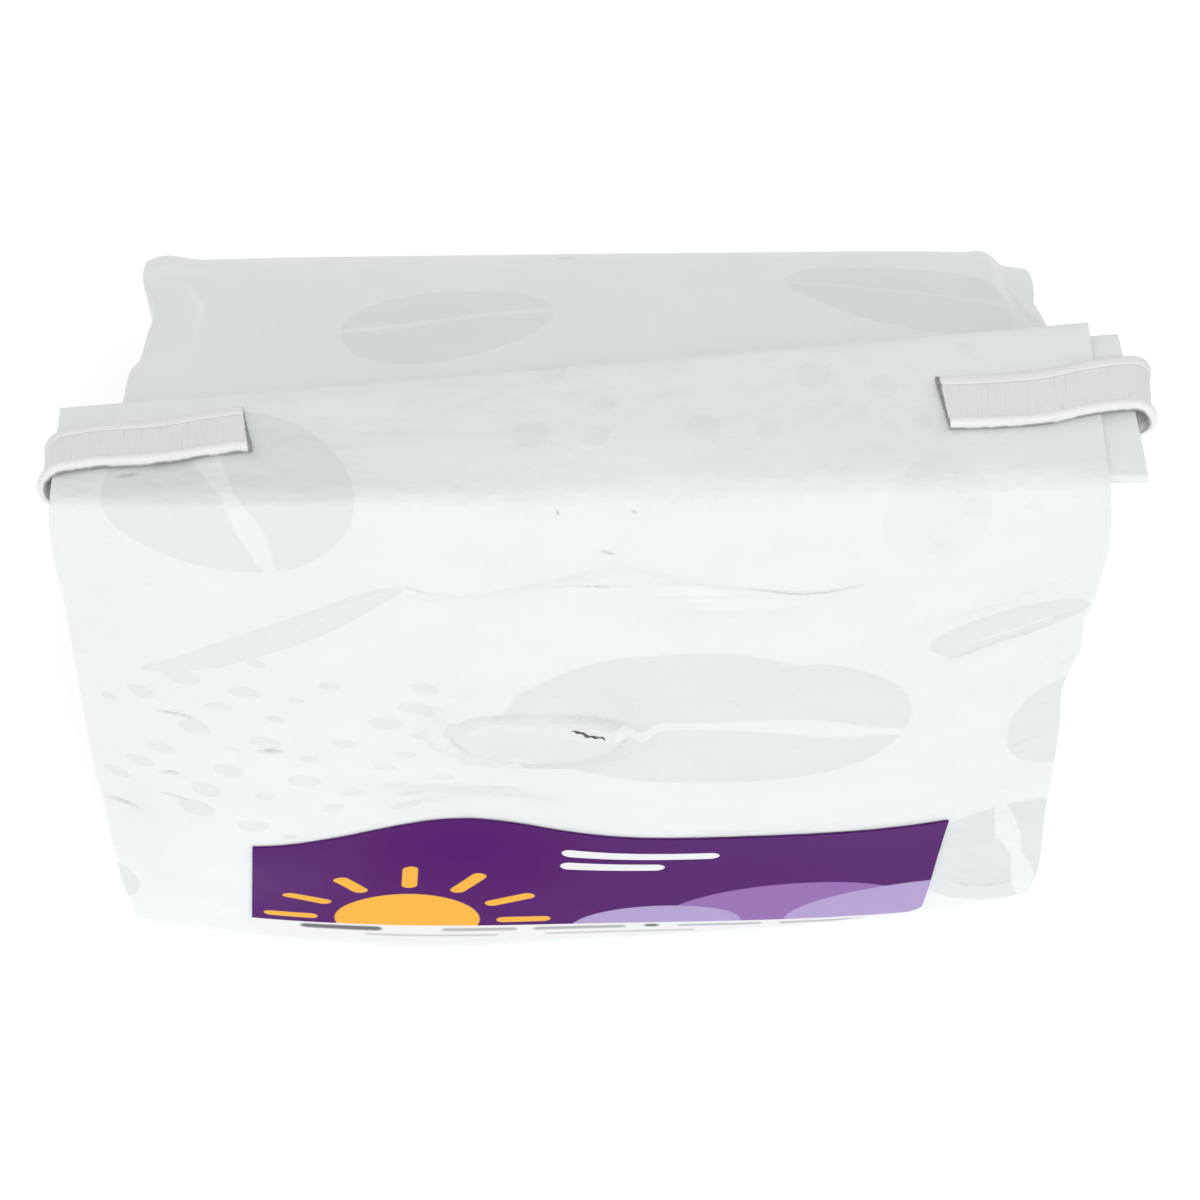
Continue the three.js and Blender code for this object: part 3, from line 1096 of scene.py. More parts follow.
class Graph:
    """Adds and links the nodes of one tree."""

    def __init__(self, tree: bpy.types.NodeTree) -> None:
        """Empties the tree.

        Args:
            tree: A material's, the world's or a group's tree.
        """
        self.tree = tree
        tree.nodes.clear()

    def feed(self, socket: Socket, value: Value) -> None:
        """Links a socket to another, or sets it to a number or a colour.

        Args:
            socket: The socket that is fed.
            value: What feeds it.
        """
        if isinstance(value, bpy.types.NodeSocket):
            self.tree.links.new(value, socket)
        elif isinstance(value, (int, float)) and hasattr(socket.default_value, "__len__"):
            socket.default_value = [value] * len(socket.default_value)
        elif hasattr(value, "__len__") and len(socket.default_value) == 4 and len(value) == 3:
            socket.default_value = (*value, 1.0)
        else:
            socket.default_value = value

    def add(self, kind: str, inputs: Inputs | None = None, **settings: object) -> bpy.types.Node:
        """Adds a node.

        Args:
            kind: Its Blender type.
            inputs: What its sockets are fed with.
            **settings: Its own settings.

        Returns:
            The node.
        """
        node = self.tree.nodes.new(kind)
        for key, value in settings.items():
            setattr(node, key, value)
        for key, value in (inputs or {}).items():
            self.feed(node.inputs[key], value)
        return node

    def math(self, operation: str, a: Value, b: Value = 0.0, c: Value = 0.0, clamp: bool = False) -> Socket:
        """Adds a Math node and gives its result."""
        node = self.add("ShaderNodeMath", {0: a, 1: b, 2: c}, operation=operation, use_clamp=clamp)
        return node.outputs[0]

    def times(self, a: Value, b: Value) -> Socket:
        """Multiplies two values."""
        return self.math("MULTIPLY", a, b)

    def less(self, a: Value, b: Value) -> Socket:
        """Takes the second value from the first."""
        return self.math("SUBTRACT", a, b)

    def vector(self, operation: str, a: Value, b: Value = 0.0) -> Socket:
        """Adds a Vector Math node and gives its vector, or its number for a length or a dot product."""
        node = self.add("ShaderNodeVectorMath", {0: a, 1: b}, operation=operation)
        return node.outputs["Value" if operation in ("LENGTH", "DOT_PRODUCT") else "Vector"]

    def blend(self, share: Value, a: Value, b: Value) -> Socket:
        """Mixes two colours.

        Args:
            share: 0 for the first colour alone, 1 for the second.
            a: The first colour.
            b: The second colour.

        Returns:
            The mixture.
        """
        node = self.add("ShaderNodeMix", data_type="RGBA")
        self.feed(node.inputs["Factor"], share)
        colours = [s for s in node.inputs if s.type == "RGBA"]
        self.feed(colours[0], a)
        self.feed(colours[1], b)
        return next(s for s in node.outputs if s.type == "RGBA")

    def rise(self, value: Value, low: float, high: float) -> Socket:
        """Gives a smooth rise from 0 at low to 1 at high."""
        inputs = {"Value": value, "From Min": low, "From Max": high}
        return self.add("ShaderNodeMapRange", inputs, interpolation_type="SMOOTHSTEP").outputs["Result"]

    def split(self, value: Value) -> tuple[Socket, Socket]:
        """Gives a vector's first two numbers."""
        node = self.add("ShaderNodeSeparateXYZ", {0: value})
        return node.outputs["X"], node.outputs["Y"]

    def join(self, x: Value, y: Value) -> Socket:
        """Makes a vector of two numbers."""
        return self.add("ShaderNodeCombineXYZ", {"X": x, "Y": y}).outputs[0]

    def noise(self, at: Value, scale: float, detail: float = 2.0, rough: float = 0.5) -> Socket:
        """Adds a Noise Texture and gives its factor."""
        inputs = {"Vector": at, "Scale": scale, "Detail": detail, "Roughness": rough}
        return self.add("ShaderNodeTexNoise", inputs).outputs[0]

    def spun(self, at: Value, angle: Value) -> Socket:
        """Turns a flat place about the origin."""
        inputs = {"Vector": at, "Angle": angle}
        return self.add("ShaderNodeVectorRotate", inputs, rotation_type="Z_AXIS").outputs[0]

    def flat_mm(self) -> Socket:
        """Gives the place on the flat film or label, in mm, from the piece's UV map."""
        return self.vector("MULTIPLY", self.add("ShaderNodeTexCoord").outputs["UV"], (1 / FLAT_SCALE,) * 3)

    def group(self, tree: bpy.types.NodeTree, inputs: Inputs) -> bpy.types.Node:
        """Places a node group with its own values."""
        return self.add("ShaderNodeGroup", inputs, node_tree=tree)

    def surface(self, inputs: Inputs) -> None:
        """Adds the shader of a surface and the output that it feeds."""
        shader = self.add("ShaderNodeBsdfPrincipled", inputs)
        self.add("ShaderNodeOutputMaterial", {"Surface": shader.outputs[0]})


def new_group(
    name: str, inputs: dict[str, str], outputs: dict[str, str]
) -> tuple[Graph, bpy.types.Node, bpy.types.Node]:
    """Starts a shader node group.

    Args:
        name: The group's name.
        inputs: Its inputs, with the kind of each socket.
        outputs: Its outputs, in the same way.

    Returns:
        The graph, the node of its inputs and the node of its outputs.
    """
    tree = bpy.data.node_groups.new(name, "ShaderNodeTree")
    for way, sockets in (("INPUT", inputs), ("OUTPUT", outputs)):
        for key, kind in sockets.items():
            tree.interface.new_socket(key, in_out=way, socket_type="NodeSocket" + kind)
    graph = Graph(tree)
    return graph, graph.add("NodeGroupInput"), graph.add("NodeGroupOutput")


# What every mark's group takes: where it is read, and the mark's middle, size and turn

MARK_SOCKETS = {
    "At": "Vector", "Middle": "Vector", "Half Length": "Float", "Half Width": "Float", "Turn": "Float",
}  # fmt: skip


class Effects:
    """The node groups that the finishes share."""

    LATTICE_TURN = 0.42
    OVAL_EDGE = 0.02
    DOT_EDGE = 0.15

    def __init__(self) -> None:
        """Builds every group once."""
        self.oval = self._oval()
        self.bar = self._bar()
        self.bean = self._bean()
        self.dots = self._dots()
        self.crumple = self._crumple()

    def _local(self, graph: Graph, given: bpy.types.Node) -> tuple[Socket, Socket]:
        """Turns a place into a mark's own two directions, from its middle."""
        off = graph.vector("SUBTRACT", given.outputs["At"], given.outputs["Middle"])
        return graph.split(graph.spun(off, graph.times(given.outputs["Turn"], -1.0)))

    def _oval(self) -> bpy.types.NodeTree:
        """Builds the oval mark, and gives its group."""
        outputs = {"Mask": "Float", "Along": "Float", "Across": "Float"}
        graph, given, out = new_group("oval_mark", {**MARK_SOCKETS, "Soft": "Float"}, outputs)
        x, y = self._local(graph, given)
        u = graph.math("DIVIDE", x, given.outputs["Half Length"])
        v = graph.math("DIVIDE", y, given.outputs["Half Width"])
        inside = graph.less(1.0, graph.vector("LENGTH", graph.join(u, v)))
        graph.feed(out.inputs["Mask"], graph.math("DIVIDE", inside, given.outputs["Soft"], clamp=True))
        graph.feed(out.inputs["Along"], u)
        graph.feed(out.inputs["Across"], v)
        return graph.tree

    def _bar(self) -> bpy.types.NodeTree:
        """Builds the bar with round ends, and gives its group."""
        graph, given, out = new_group("bar_mark", {**MARK_SOCKETS, "Soft": "Float"}, {"Mask": "Float"})
        x, y = self._local(graph, given)
        straight = graph.less(given.outputs["Half Length"], given.outputs["Half Width"])
        past = graph.math("MAXIMUM", graph.less(graph.math("ABSOLUTE", x), straight), 0.0)
        inside = graph.less(given.outputs["Half Width"], graph.vector("LENGTH", graph.join(past, y)))
        graph.feed(out.inputs["Mask"], graph.math("DIVIDE", inside, given.outputs["Soft"], clamp=True))
        return graph.tree

    def _bean(self) -> bpy.types.NodeTree:
        """Builds the bean: an oval with a curved line left open along its middle."""
        sockets = {**MARK_SOCKETS, "Line": "Float", "Bend": "Float"}
        graph, given, out = new_group("bean_print", sockets, {"Mask": "Float"})
        same = {key: given.outputs[key] for key in MARK_SOCKETS}
        oval = graph.group(self.oval, {**same, "Soft": self.OVAL_EDGE})
        bend = graph.math("SINE", graph.times(oval.outputs["Along"], math.pi))
        curve = graph.times(bend, given.outputs["Bend"])
        off = graph.math("ABSOLUTE", graph.less(oval.outputs["Across"], curve))
        swell = graph.math("ADD", 0.6, graph.math("ABSOLUTE", bend))
        half = graph.times(given.outputs["Line"], swell)
        open_line = graph.rise(graph.less(off, half), 0.0, 0.03)
        graph.feed(out.inputs["Mask"], graph.times(oval.outputs["Mask"], open_line))
        return graph.tree

    def _dots(self) -> bpy.types.NodeTree:
        """Builds a drift of dots: a jittered lattice of dots of random sizes, whole inside the drift's oval
        and gone outside it.
        """
        sockets = {**MARK_SOCKETS, "Spacing": "Float", "Least": "Float", "Most": "Float"}
        graph, given, out = new_group("dot_drift", sockets, {"Mask": "Float"})
        spacing, least = given.outputs["Spacing"], given.outputs["Least"]
        scaled = graph.vector("DIVIDE", given.outputs["At"], graph.join(spacing, spacing))
        cells = graph.add(
            "ShaderNodeTexVoronoi",
            {"Vector": graph.spun(scaled, self.LATTICE_TURN), "Scale": 1.0, "Randomness": 0.5},
            voronoi_dimensions="2D",
            feature="F1",
        )
        back = graph.spun(cells.outputs["Position"], -self.LATTICE_TURN)
        centre = graph.vector("MULTIPLY", back, graph.join(spacing, spacing))
        same = {key: given.outputs[key] for key in MARK_SOCKETS}
        oval = graph.group(self.oval, {**same, "At": centre, "Soft": 0.001})
        chance = graph.split(cells.outputs["Color"])[0]
        spread = graph.less(given.outputs["Most"], least)
        size = graph.math("ADD", graph.times(chance, spread), least)
        size = graph.times(size, oval.outputs["Mask"])
        inside = graph.less(size, graph.times(cells.outputs["Distance"], spacing))
        graph.feed(out.inputs["Mask"], graph.math("DIVIDE", inside, self.DOT_EDGE, clamp=True))
        return graph.tree

    def _crumple(self) -> bpy.types.NodeTree:
        """Builds the film's fine unevenness, as a height in mm."""
        outputs = {"Height": "Float", "Patches": "Float"}
        graph, given, out = new_group("film_crumple", {"At": "Vector", "Strength": "Float"}, outputs)
        at = given.outputs["At"]
        slow = graph.noise(at, 0.09, 3.0)
        fine = graph.noise(at, 0.55, 2.0)
        bent = graph.vector("ADD", at, graph.join(graph.times(slow, 9.0), 0.0))
        lines = graph.add(
            "ShaderNodeTexVoronoi",
            {"Vector": bent, "Scale": 0.075},
            voronoi_dimensions="2D",
            feature="DISTANCE_TO_EDGE",
        )
        crease = graph.less(1.0, graph.rise(lines.outputs["Distance"], 0.0, 0.06))
        total = graph.math("ADD", graph.times(slow, 1.0), graph.times(fine, 0.16))
        total = graph.math("ADD", total, graph.times(crease, 0.012))
        graph.feed(out.inputs["Height"], graph.times(total, given.outputs["Strength"]))
        graph.feed(out.inputs["Patches"], slow)
        return graph.tree


@dataclass(frozen=True)
class Mark:
    """One printed shape: its middle, half length, half width in mm, and turn in degrees."""

    middle: Place
    length: float
    width: float
    turn: float = 0.0

    def inputs(self, at: Socket) -> Inputs:
        """Gives the values of the mark's node group."""
        return {
            "At": at,
            "Middle": (*self.middle, 0.0),
            "Half Length": self.length,
            "Half Width": self.width,
            "Turn": math.radians(self.turn),
        }


def start_material(name: str) -> tuple[bpy.types.Material, Graph]:
    """Starts an empty material.

    Args:
        name: The material's name.

    Returns:
        The material and its graph.
    """
    material = bpy.data.materials.new(name)
    material.use_nodes = True
    return material, Graph(material.node_tree)


@dataclass(frozen=True)
class Bean:
    """One printed bean: the width and bend of the line left open along it, and the strength of its tone."""

    mark: Mark
    line: float = 0.05
    tone: float = 0.75
    bend: float = 0.08

    def inputs(self, at: Socket) -> Inputs:
        """Gives the values of the bean's node group."""
        return {**self.mark.inputs(at), "Line": self.line, "Bend": self.bend}


@dataclass(frozen=True)
class Drift:
    """A drift of printed dots: their spacing, least and most radius in mm, and the strength of their tone."""

    mark: Mark
    spacing: float = 7.8
    least: float = 0.8
    most: float = 2.15
    tone: float = 1.0

    def inputs(self, at: Socket) -> Inputs:
        """Gives the values of the drift's node group."""
        return {**self.mark.inputs(at), "Spacing": self.spacing, "Least": self.least, "Most": self.most}


@dataclass(frozen=True)
class FilmFinish:
    """The white film, its tone-on-tone print, and the shade and highlights painted over it: dark spots in
    dents, along crease lines and under the tie, lighter lines along two folds at the back's corners, and
    darker patches over the crumples.
    """

    white: Colour = (0.862, 0.903, 0.898)
    bean_tone: Colour = (0.745, 0.785, 0.790)
    dot_tone: Colour = (0.798, 0.838, 0.845)
    # Painted shade in dents and along crease lines, a painted shadow under the tie, and small dark nicks
    shade_and_nick_tone: Colour = (0.30, 0.31, 0.32)
    # Painted highlights along two crease lines
    crease_highlight_tone: Colour = (0.93, 0.974, 0.968)
    # Painted shade in slow patches over the crumples
    mottle_shade_tone: Colour = (0.62, 0.66, 0.68)
    shade_and_nick_share: float = 0.55
    mottle_shade_share: float = 0.09
    shade_and_nick_edge: float = 0.9
    crease_highlight_edge: float = 0.8
    crumple: float = 1.6
    bump: float = 0.6
    roughness: float = 0.34
    rough_patches: float = 0.12
    beans: tuple[Bean, ...] = ()
    drifts: tuple[Drift, ...] = ()
    shades_and_nicks: tuple[Mark, ...] = ()
    crease_highlights: tuple[Mark, ...] = ()

    def printed(
        self, graph: Graph, at: Socket, tree: bpy.types.NodeTree, prints: Sequence[Bean | Drift]
    ) -> Value:
        """Lays several prints of one kind over each other.

        Args:
            graph: The material's graph.
            at: The place on the flat film.
            tree: The node group of the print.
            prints: The prints.

        Returns:
            The mask of them all.
        """
        covered: Value = 0.0
        for one in prints:
            mask = graph.group(tree, one.inputs(at)).outputs["Mask"]
            covered = graph.math("MAXIMUM", covered, graph.times(mask, one.tone))
        return covered

    def painted_shade_and_nicks(self, graph: Graph, effects: Effects, at: Socket) -> Socket:
        """Lays the ragged dark spots: painted shade in the film's dents and along its crease lines, a painted
        shadow under the tie, and a few small dark nicks at the ridge.

        Args:
            graph: The material's graph.
            effects: The shared node groups.
            at: The place on the flat film.

        Returns:
            The mask of them all.
        """
        covered: Value = 0.0
        for dark_spot in self.shades_and_nicks:
            mask = graph.group(effects.oval, {**dark_spot.inputs(at), "Soft": self.shade_and_nick_edge}).outputs["Mask"]
            covered = graph.math("MAXIMUM", covered, mask)
        ragged = graph.rise(graph.noise(at, 1.6, 3.0, 0.7), 0.24, 0.56)
        return graph.times(graph.times(covered, ragged), self.shade_and_nick_share)

    def build(self, effects: Effects) -> bpy.types.Material:
        """Builds the material.

        Args:
            effects: The shared node groups.

        Returns:
            The material.
        """
        material, graph = start_material("printed_film")
        at = graph.flat_mm()
        colour = graph.blend(self.printed(graph, at, effects.bean, self.beans), self.white, self.bean_tone)
        colour = graph.blend(self.printed(graph, at, effects.dots, self.drifts), colour, self.dot_tone)
        # Dark spots: painted shade in dents and along crease lines, a painted shadow under the tie, and small
        # nicks
        colour = graph.blend(self.painted_shade_and_nicks(graph, effects, at), colour, self.shade_and_nick_tone)
        # Lighter lines along two crease lines: painted highlights
        for crease in self.crease_highlights:
            mask = graph.group(effects.oval, {**crease.inputs(at), "Soft": self.crease_highlight_edge}).outputs["Mask"]
            colour = graph.blend(mask, colour, self.crease_highlight_tone)
        crumple = graph.group(effects.crumple, {"At": at, "Strength": self.crumple})
        patches = crumple.outputs["Patches"]
        # Darker where the crumple's slow waves stand highest: painted shade of the crumples
        shade = graph.times(graph.rise(patches, 0.3, 0.75), self.mottle_shade_share)
        colour = graph.blend(shade, colour, self.mottle_shade_tone)
        height = {"Height": crumple.outputs["Height"], "Distance": MM, "Strength": self.bump}
        bump = graph.add("ShaderNodeBump", height)
        rough = graph.math("ADD", self.roughness, graph.times(patches, self.rough_patches))
        graph.surface(
            {"Base Color": colour, "Roughness": rough, "Normal": bump.outputs["Normal"], "IOR": 1.45,
             "Specular IOR Level": 0.3}
        )  # fmt: skip
        return material


@dataclass(frozen=True)
class TieFinish:
    """The light grey band over the wires, scratched across, its rib crests painted lighter as highlights, a
    dark line along each rib's foot, painted shadow along its edges that is partly grimy wear, and darker cut
    ends.
    """

    length: float
    grey: Colour = (0.85, 0.868, 0.863)
    # The rib crests are painted lighter than the web, the near rib most: painted highlights
    far_rib: Colour = (0.86, 0.875, 0.87)
    near_rib_highlight: Colour = (0.91, 0.915, 0.92)
    scratch: Colour = (0.5, 0.52, 0.52)
    # A dark line along the foot of each rib, where it rises from the web
    rib_foot_line: Colour = (0.34, 0.35, 0.36)
    # The band's very edges, darkened as painted shadow that is partly grimy wear, and its cut ends
    edge_shadow_and_grime: Colour = (0.16, 0.165, 0.175)
    half_width: float = 3.85
    middle: float = 20.0
    scratch_share: float = 0.28
    rib_foot_share: float = 0.4
    edge_shadow_and_grime_share: float = 0.8
    cut_share: float = 0.85

    def edge_shadow_and_dirt(self, graph: Graph, at: Socket, run: Socket, across: Socket, off: Socket) -> Socket:
        """Gives the mask of the dark at the band's very edges, painted shadow that is partly grimy wear, and
        at its cut ends.

        Args:
            graph: The material's graph.
            at: The place on the flat band.
            run: The way along it.
            across: The way across it.
            off: The distance from its middle line.

        Returns:
            The mask.
        """
        ragged = graph.noise(graph.join(graph.times(run, 0.5), across), 1.0, 3.0, 0.6)
        patches = graph.rise(ragged, 0.3, 0.6)
        reach = graph.math("ADD", off, graph.times(patches, self.half_width * 0.003))
        # The band's very edges: painted shadow, partly grimy wear
        edge = graph.rise(reach, self.half_width * 0.997, self.half_width * 1.003)
        edge = graph.times(edge, self.edge_shadow_and_grime_share)
        to_end = graph.math("MINIMUM", run, graph.less(self.length, run))
        to_end = graph.less(to_end, graph.times(graph.noise(at, 1.1, 3.0, 0.7), 0.35))
        cut = graph.less(1.0, graph.rise(to_end, 0.0, 0.16))
        return graph.math("MAXIMUM", edge, graph.times(cut, self.cut_share))

    def build(self) -> bpy.types.Material:
        """Builds the material.

        Returns:
            The material.
        """
        material, graph = start_material("tie_band")
        at = graph.flat_mm()
        run, across = graph.split(at)
        off = graph.math("ABSOLUTE", graph.less(across, self.middle))
        rib = graph.rise(off, self.half_width * 0.64, self.half_width * 0.7)
        side = graph.rise(across, self.middle - 2, self.middle + 2)
        # Painted highlights on the rib crests, the near one lighter
        rib_highlight = graph.blend(side, self.near_rib_highlight, self.far_rib)
        lines = graph.noise(graph.join(graph.times(run, 4.6), graph.times(across, 0.1)), 1.0, 3.0, 0.7)
        scratches = graph.times(graph.rise(lines, 0.5, 0.72), graph.less(1.0, rib))
        colour = graph.blend(rib, self.grey, rib_highlight)
        colour = graph.blend(graph.times(scratches, self.scratch_share), colour, self.scratch)
        from_rib_foot = graph.math("ABSOLUTE", graph.less(off, self.half_width * 0.66))
        # A dark line along each rib's foot
        rib_foot_line = graph.times(graph.less(1.0, graph.rise(from_rib_foot, 0.0, 0.1)), self.rib_foot_share)
        colour = graph.blend(rib_foot_line, colour, self.rib_foot_line)
        colour = graph.blend(self.edge_shadow_and_dirt(graph, at, run, across, off), colour, self.edge_shadow_and_grime)
        bump = graph.add("ShaderNodeBump", {"Height": lines, "Distance": 0.15 * MM, "Strength": 0.5})
        normal = bump.outputs["Normal"]
        graph.surface({"Base Color": colour, "Roughness": 0.42, "Normal": normal, "IOR": 1.45})
        return material


# The dashes in the label's white band, each with the strength of its ink

DASHES = (
    (Mark((10.4, 4.7), 5.0, 1.0), 0.9),
    (Mark((26.5, 4.7), 4.6, 0.8), 0.5),
    (Mark((38.2, 4.7), 5.6, 0.8), 0.55),
    (Mark((46.6, 4.9), 1.1, 0.8), 0.9),
    (Mark((54.6, 4.7), 5.2, 0.7), 0.45),
    (Mark((66.8, 4.7), 5.4, 0.7), 0.45),
    (Mark((21.0, 2.6), 8.0, 0.6), 0.35),
    (Mark((43.0, 2.6), 9.0, 0.6), 0.35),
)


@dataclass(frozen=True)
class LabelFinish:
    """The label's print: a purple field with lilac and amber shapes over a white band."""

    purple: Colour = (0.088, 0.006, 0.147)
    lilac: Colour = (0.31, 0.155, 0.45)
    pale_lilac: Colour = (0.45, 0.355, 0.63)
    amber: Colour = (0.97, 0.48, 0.06)
    white: Colour = (0.87, 0.88, 0.88)
    ink: Colour = (0.09, 0.09, 0.11)
    sun: Place = (18.0, 8.0)
    sun_radius: float = 8.5
    ray_at: float = 13.5
    ray_size: Place = (3.2, 0.95)
    ray_step: int = 30
    bars: tuple[Mark, ...] = (Mark((44, 29.5), 9.0, 1.15), Mark((41, 25.6), 6.0, 1.15))
    oval_edge: float = 0.02
    bar_edge: float = 0.12
    dash_edge: float = 0.5
    band_top: float = 6.1
    band_bend: float = 0.002
    band_middle: float = 22.0

    def shapes(self) -> list[tuple[Mark, Colour]]:
        """Lists the ovals over the purple, hills first and then the sun."""
        return [
            (Mark((62, 5), 15, 12.5), self.lilac),
            (Mark((76, 3), 14, 10.5), self.pale_lilac),
            (Mark((47, 4), 10, 7.5), self.pale_lilac),
            (Mark(self.sun, self.sun_radius, self.sun_radius), self.amber),
        ]

    def strokes(self) -> list[tuple[Mark, Colour]]:
        """Lists the bars over the purple: the sun's rays and the two white lines.

        Returns:
            Each bar and its colour.
        """
        made = []
        for angle in range(0, 181, self.ray_step):
            turn = math.radians(angle)
            middle = (self.sun[0] + self.ray_at * math.cos(turn), self.sun[1] + self.ray_at * math.sin(turn))
            made.append((Mark(middle, *self.ray_size, angle), self.amber))
        return made + [(bar, self.white) for bar in self.bars]

    def build(self, effects: Effects) -> bpy.types.Material:
        """Builds the material.

        Args:
            effects: The shared node groups.

        Returns:
            The material.
        """
        material, graph = start_material("label_print")
        at = graph.flat_mm()
        run, up = graph.split(at)
        colour: Value = self.purple
        layers = ((effects.oval, self.shapes(), self.oval_edge), (effects.bar, self.strokes(), self.bar_edge))
        for tree, marks, soft in layers:
            for mark, tone in marks:
                mask = graph.group(tree, {**mark.inputs(at), "Soft": soft}).outputs["Mask"]
                colour = graph.blend(mask, colour, tone)
        off = graph.less(run, self.band_middle)
        level = graph.math("ADD", up, graph.times(graph.times(off, off), self.band_bend))
        band = graph.math("LESS_THAN", level, self.band_top)
        colour = graph.blend(band, colour, self.white)
        bent = graph.join(run, level)
        for mark, tone in DASHES:
            dash = graph.group(effects.bar, {**mark.inputs(bent), "Soft": self.dash_edge})
            colour = graph.blend(graph.times(dash.outputs["Mask"], tone), colour, self.ink)
        graph.surface({"Base Color": colour, "Roughness": 0.5, "IOR": 1.45, "Specular IOR Level": 0.03})
        return material


@dataclass(frozen=True)
class SlitFinish:
    """The dark depth of the slit."""

    dark: Colour = (0.03, 0.028, 0.024)
    lit: Colour = (0.16, 0.14, 0.10)

    def build(self) -> bpy.types.Material:
        """Builds the material.

        Returns:
            The material.
        """
        material, graph = start_material("slit_depth")
        mottle = graph.rise(graph.noise(graph.flat_mm(), 2.4, 3.0), 0.35, 0.7)
        graph.surface({"Base Color": graph.blend(mottle, self.dark, self.lit), "Roughness": 0.8})
        return material


# The studio


@dataclass(frozen=True)
class Lamp:
    """A square soft light that faces the bag: its name, place and side in metres, and power in watts."""

    name: str
    place: tuple[float, float, float]
    power: float
    size: float = 0.6
    target: tuple[float, float, float] = (0.0, 0.0, 0.08)

    def build(self) -> None:
        """Adds the light."""
        data = bpy.data.lights.new(self.name, "AREA")
        data.shape, data.size, data.energy = "SQUARE", self.size, self.power
        lamp = bpy.data.objects.new(self.name, data)
        bpy.context.collection.objects.link(lamp)
        lamp.location = self.place
        aim = np.array(self.target) - np.array(self.place)
        tilt = math.acos(-aim[2] / np.linalg.norm(aim))
        lamp.rotation_euler = (tilt, 0.0, math.atan2(aim[1], aim[0]) - math.pi / 2)


@dataclass(frozen=True)
class Studio:
    """The camera, the soft light and the pale floor."""

    pitch: float = 70.0
    place: tuple[float, float, float] = (2.03, -287.06, 823.75)
    lens: float = 218.9
    sensor: float = 36.0
    world: float = 0.575
    lamps: tuple[Lamp, ...] = (
        Lamp("key", (-0.45, -0.9, 0.65), 0.85),
        Lamp("low", (0.25, -1.1, 0.35), 1.2),
        Lamp("top", (0.10, -0.36, 1.25), 4.85, 0.5),
        Lamp("rear", (-0.55, 1.0, 0.55), 0.6),
    )
    floor_size: float = 6.0
    floor_tone: Colour = (0.99, 0.99, 0.99)
    glow: float = 0.22
    far_glow: float = 0.05
    glow_reach: Place = (0.10, 0.34)

    def camera(self) -> None:
        """Puts the camera at the photograph's place."""
        data = bpy.data.cameras.new("camera")
        data.lens, data.sensor_width, data.sensor_fit = self.lens, self.sensor, "HORIZONTAL"
        data.clip_start, data.clip_end = 0.01, 20.0
        eye = bpy.data.objects.new("camera", data)
        bpy.context.collection.objects.link(eye)
        eye.location = [v * MM for v in self.place]
        eye.rotation_euler = (math.radians(90 - self.pitch), 0.0, 0.0)
        bpy.context.scene.camera = eye

    def build(self) -> None:
        """Sets up the light, the floor and the picture's tones."""
        scene = bpy.context.scene
        scene.view_settings.view_transform = "Standard"
        scene.world = bpy.data.worlds.new("studio")
        scene.world.use_nodes = True
        graph = Graph(scene.world.node_tree)
        sky = graph.add("ShaderNodeBackground", {"Color": (1.0, 1.0, 1.0), "Strength": self.world})
        graph.add("ShaderNodeOutputWorld", {"Surface": sky.outputs[0]})
        for lamp in self.lamps:
            lamp.build()
        self.floor()

    def floor(self) -> None:
        """Adds the floor, pale and lit from below like a light table."""
        nothing_selected()
        bpy.ops.mesh.primitive_plane_add(size=self.floor_size)
        floor = bpy.context.object
        floor.name = "floor"
        material, graph = start_material("floor")
        far = graph.vector("LENGTH", graph.add("ShaderNodeTexCoord").outputs["Object"])
        fade = graph.rise(far, *self.glow_reach)
        glow = graph.blend(fade, (1.0, 1.0, 1.0), (self.far_glow / self.glow,) * 3)
        graph.surface(
            {"Base Color": self.floor_tone, "Roughness": 0.9, "Emission Color": glow,
             "Emission Strength": self.glow}
        )  # fmt: skip
        floor.data.materials.append(material)


# The print, and the painted shade and highlights, on the flat film: 0 to 108 is the front, then a gusset, and
# the back from 171.5 to 279.5

BEANS = (
    Bean(Mark((243.7, 147.6), 12.7, 7.2, 7), 0.025, 0.56, 0.04),
    Bean(Mark((187.0, 140.5), 15.5, 8.0, 170), 0.0, 0.56),
    Bean(Mark((18.1, 173.8), 15.1, 12.9, 106), 0.055, 0.66, 0.02),
    Bean(Mark((67.4, 124.4), 24.2, 20.2, 165), 0.05, 0.8, 0.07),
    # A plain darker disc over the valve's plate, with no line: not a printed bean
    Bean(Mark((49.4, 124.3), 9.4, 9.4), -1.0, 0.55),
    Bean(Mark((21.6, 144.2), 19.5, 2.3, 43), 0.0, 0.65),
    Bean(Mark((99.5, 143.2), 8.5, 4.6, 19), 0.0, 0.8),
    Bean(Mark((110.0, 110.0), 15.0, 8.0, 90), 0.03, 0.75, 0.0),
    Bean(Mark((105.0, 64.0), 20.0, 12.0, 97), 0.06, 1.0, 0.0),
    Bean(Mark((-2.5, 58.0), 7.0, 4.7, 90), 0.0, 0.8),
    Bean(Mark((90.3, 168.5), 9.0, 5.5, 82), 0.0, 0.18),
    Bean(Mark((140.0, 92.0), 19.0, 12.0, 70)),
    Bean(Mark((200.0, 82.0), 22.0, 14.0, 30)),
    Bean(Mark((256.0, 66.0), 18.0, 11.0, 130)),
    Bean(Mark((314.0, 104.0), 20.0, 12.5, 55)),
)
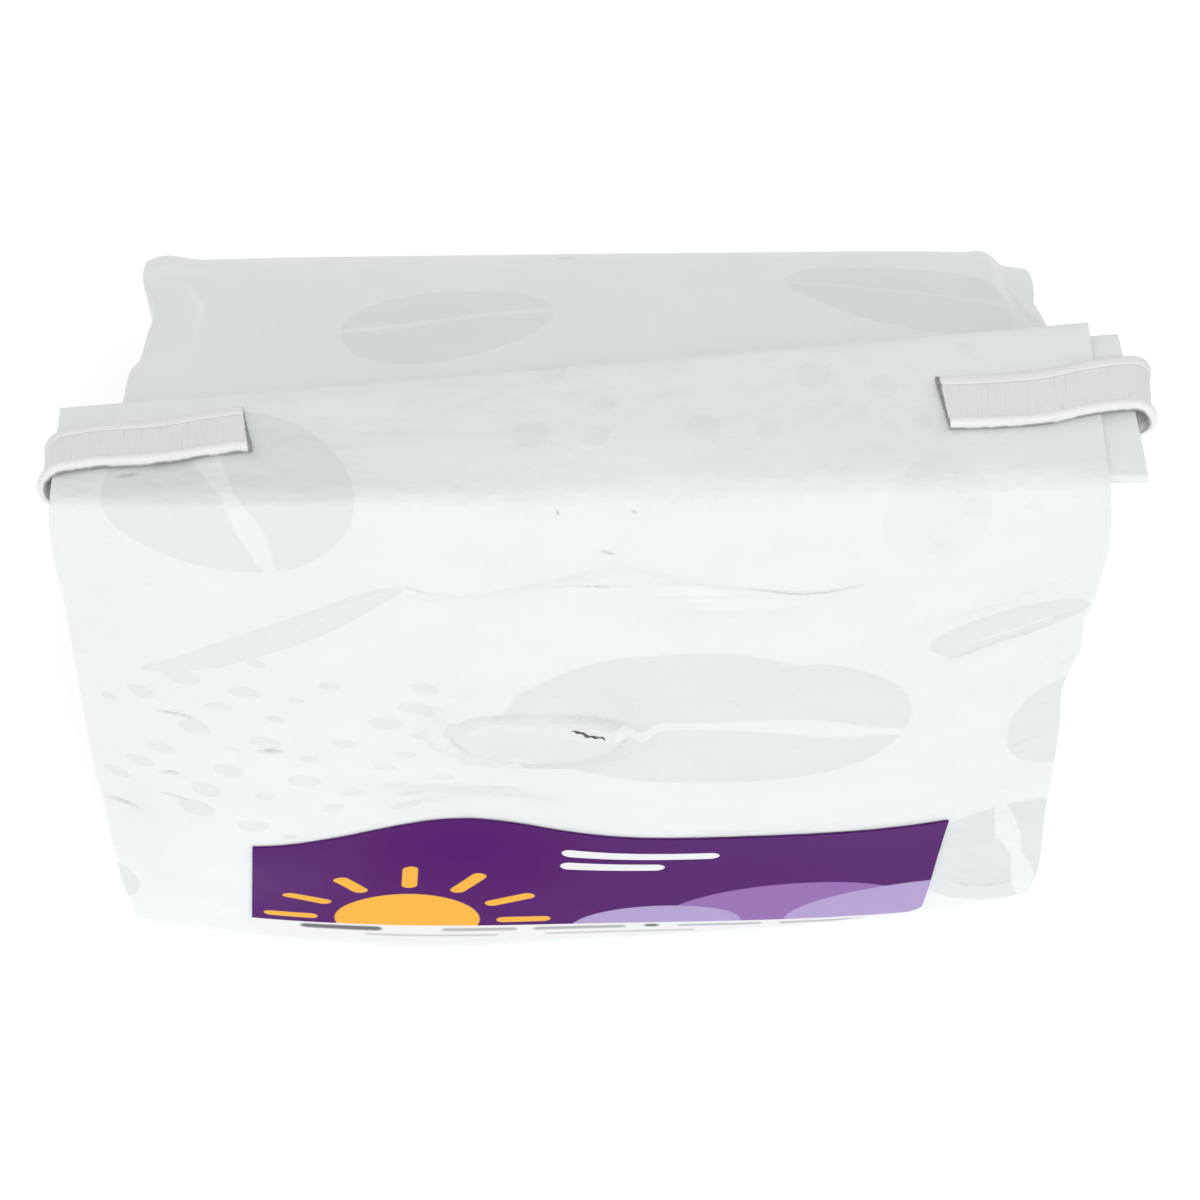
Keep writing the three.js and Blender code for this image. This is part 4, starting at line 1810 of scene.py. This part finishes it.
DRIFTS = (
    Drift(Mark((25.0, 112.0), 30.0, 24.0, 60)),
    Drift(Mark((72.0, 187.0), 29.0, 7.5, 0), 8.4, 0.9, 2.1, 0.55),
    Drift(Mark((94.0, 173.0), 12.0, 7.0, 90), 7.4, 0.9, 2.3, 0.5),
    Drift(Mark((226.0, 112.0), 24.0, 14.0, 20)),
    Drift(Mark((152.0, 130.0), 20.0, 12.0, 80)),
    Drift(Mark((330.0, 74.0), 22.0, 12.0, 60)),
)
# Dark spots: painted shade in dents and along the crease lines under the tent, a painted shadow under the
# tie's band, and small dark nicks at the ridge
SHADES_AND_NICKS = (
    Mark((10.5, 118.0), 2.4, 0.75, -5),
    Mark((2.4, 85.8), 2.3, 1.0, 8),
    Mark((8.8, 100.2), 1.5, 0.8, 20),
    Mark((8.9, 94.2), 2.0, 0.7, -3),
    Mark((20.5, 111.2), 2.0, 0.9, 8),
    Mark((51.7, 171.2), 0.25, 0.55, 20),
    Mark((59.5, 171.0), 0.5, 0.25, -40),
    Mark((56.8, 165.8), 1.1, 0.3, -20),
    Mark((38.8, 157.6), 3.2, 0.2, 0),
    Mark((55.4, 157.2), 2.6, 0.18, -6),
    Mark((72.0, 158.3), 6.5, 0.22, -2),
    Mark((77.0, 157.2), 6.5, 0.24, -6),
    Mark((98.5, 186.0), 1.0, 0.4, 0),
    Mark((7.8, 178.4), 1.6, 0.5, 10),
)


# Lighter lines along the folds at the back's two upper corners: painted highlights
CREASE_HIGHLIGHTS = (
    Mark((175.9, 134.0), 11.5, 0.9, 92),
    Mark((273.9, 142.0), 8.0, 0.6, 90),
)


def main() -> None:
    """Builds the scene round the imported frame."""
    logging.basicConfig(level=logging.INFO, format="%(name)s %(message)s")
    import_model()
    studio = Studio()
    studio.camera()
    form = PackForm()
    effects = Effects()
    film = FilmFinish(beans=BEANS, drifts=DRIFTS, shades_and_nicks=SHADES_AND_NICKS, crease_highlights=CREASE_HIGHLIGHTS).build(effects)
    FilmPack(form).build(film)
    InnerTurns(form).build(film)
    tie = TinTie(form)
    tie.build(TieFinish(float(tie.steps()[-1])).build())
    Label(form).build(LabelFinish().build(effects))
    ValveSlit(form).build(SlitFinish().build())
    studio.build()


if __name__ == "__main__":
    main()
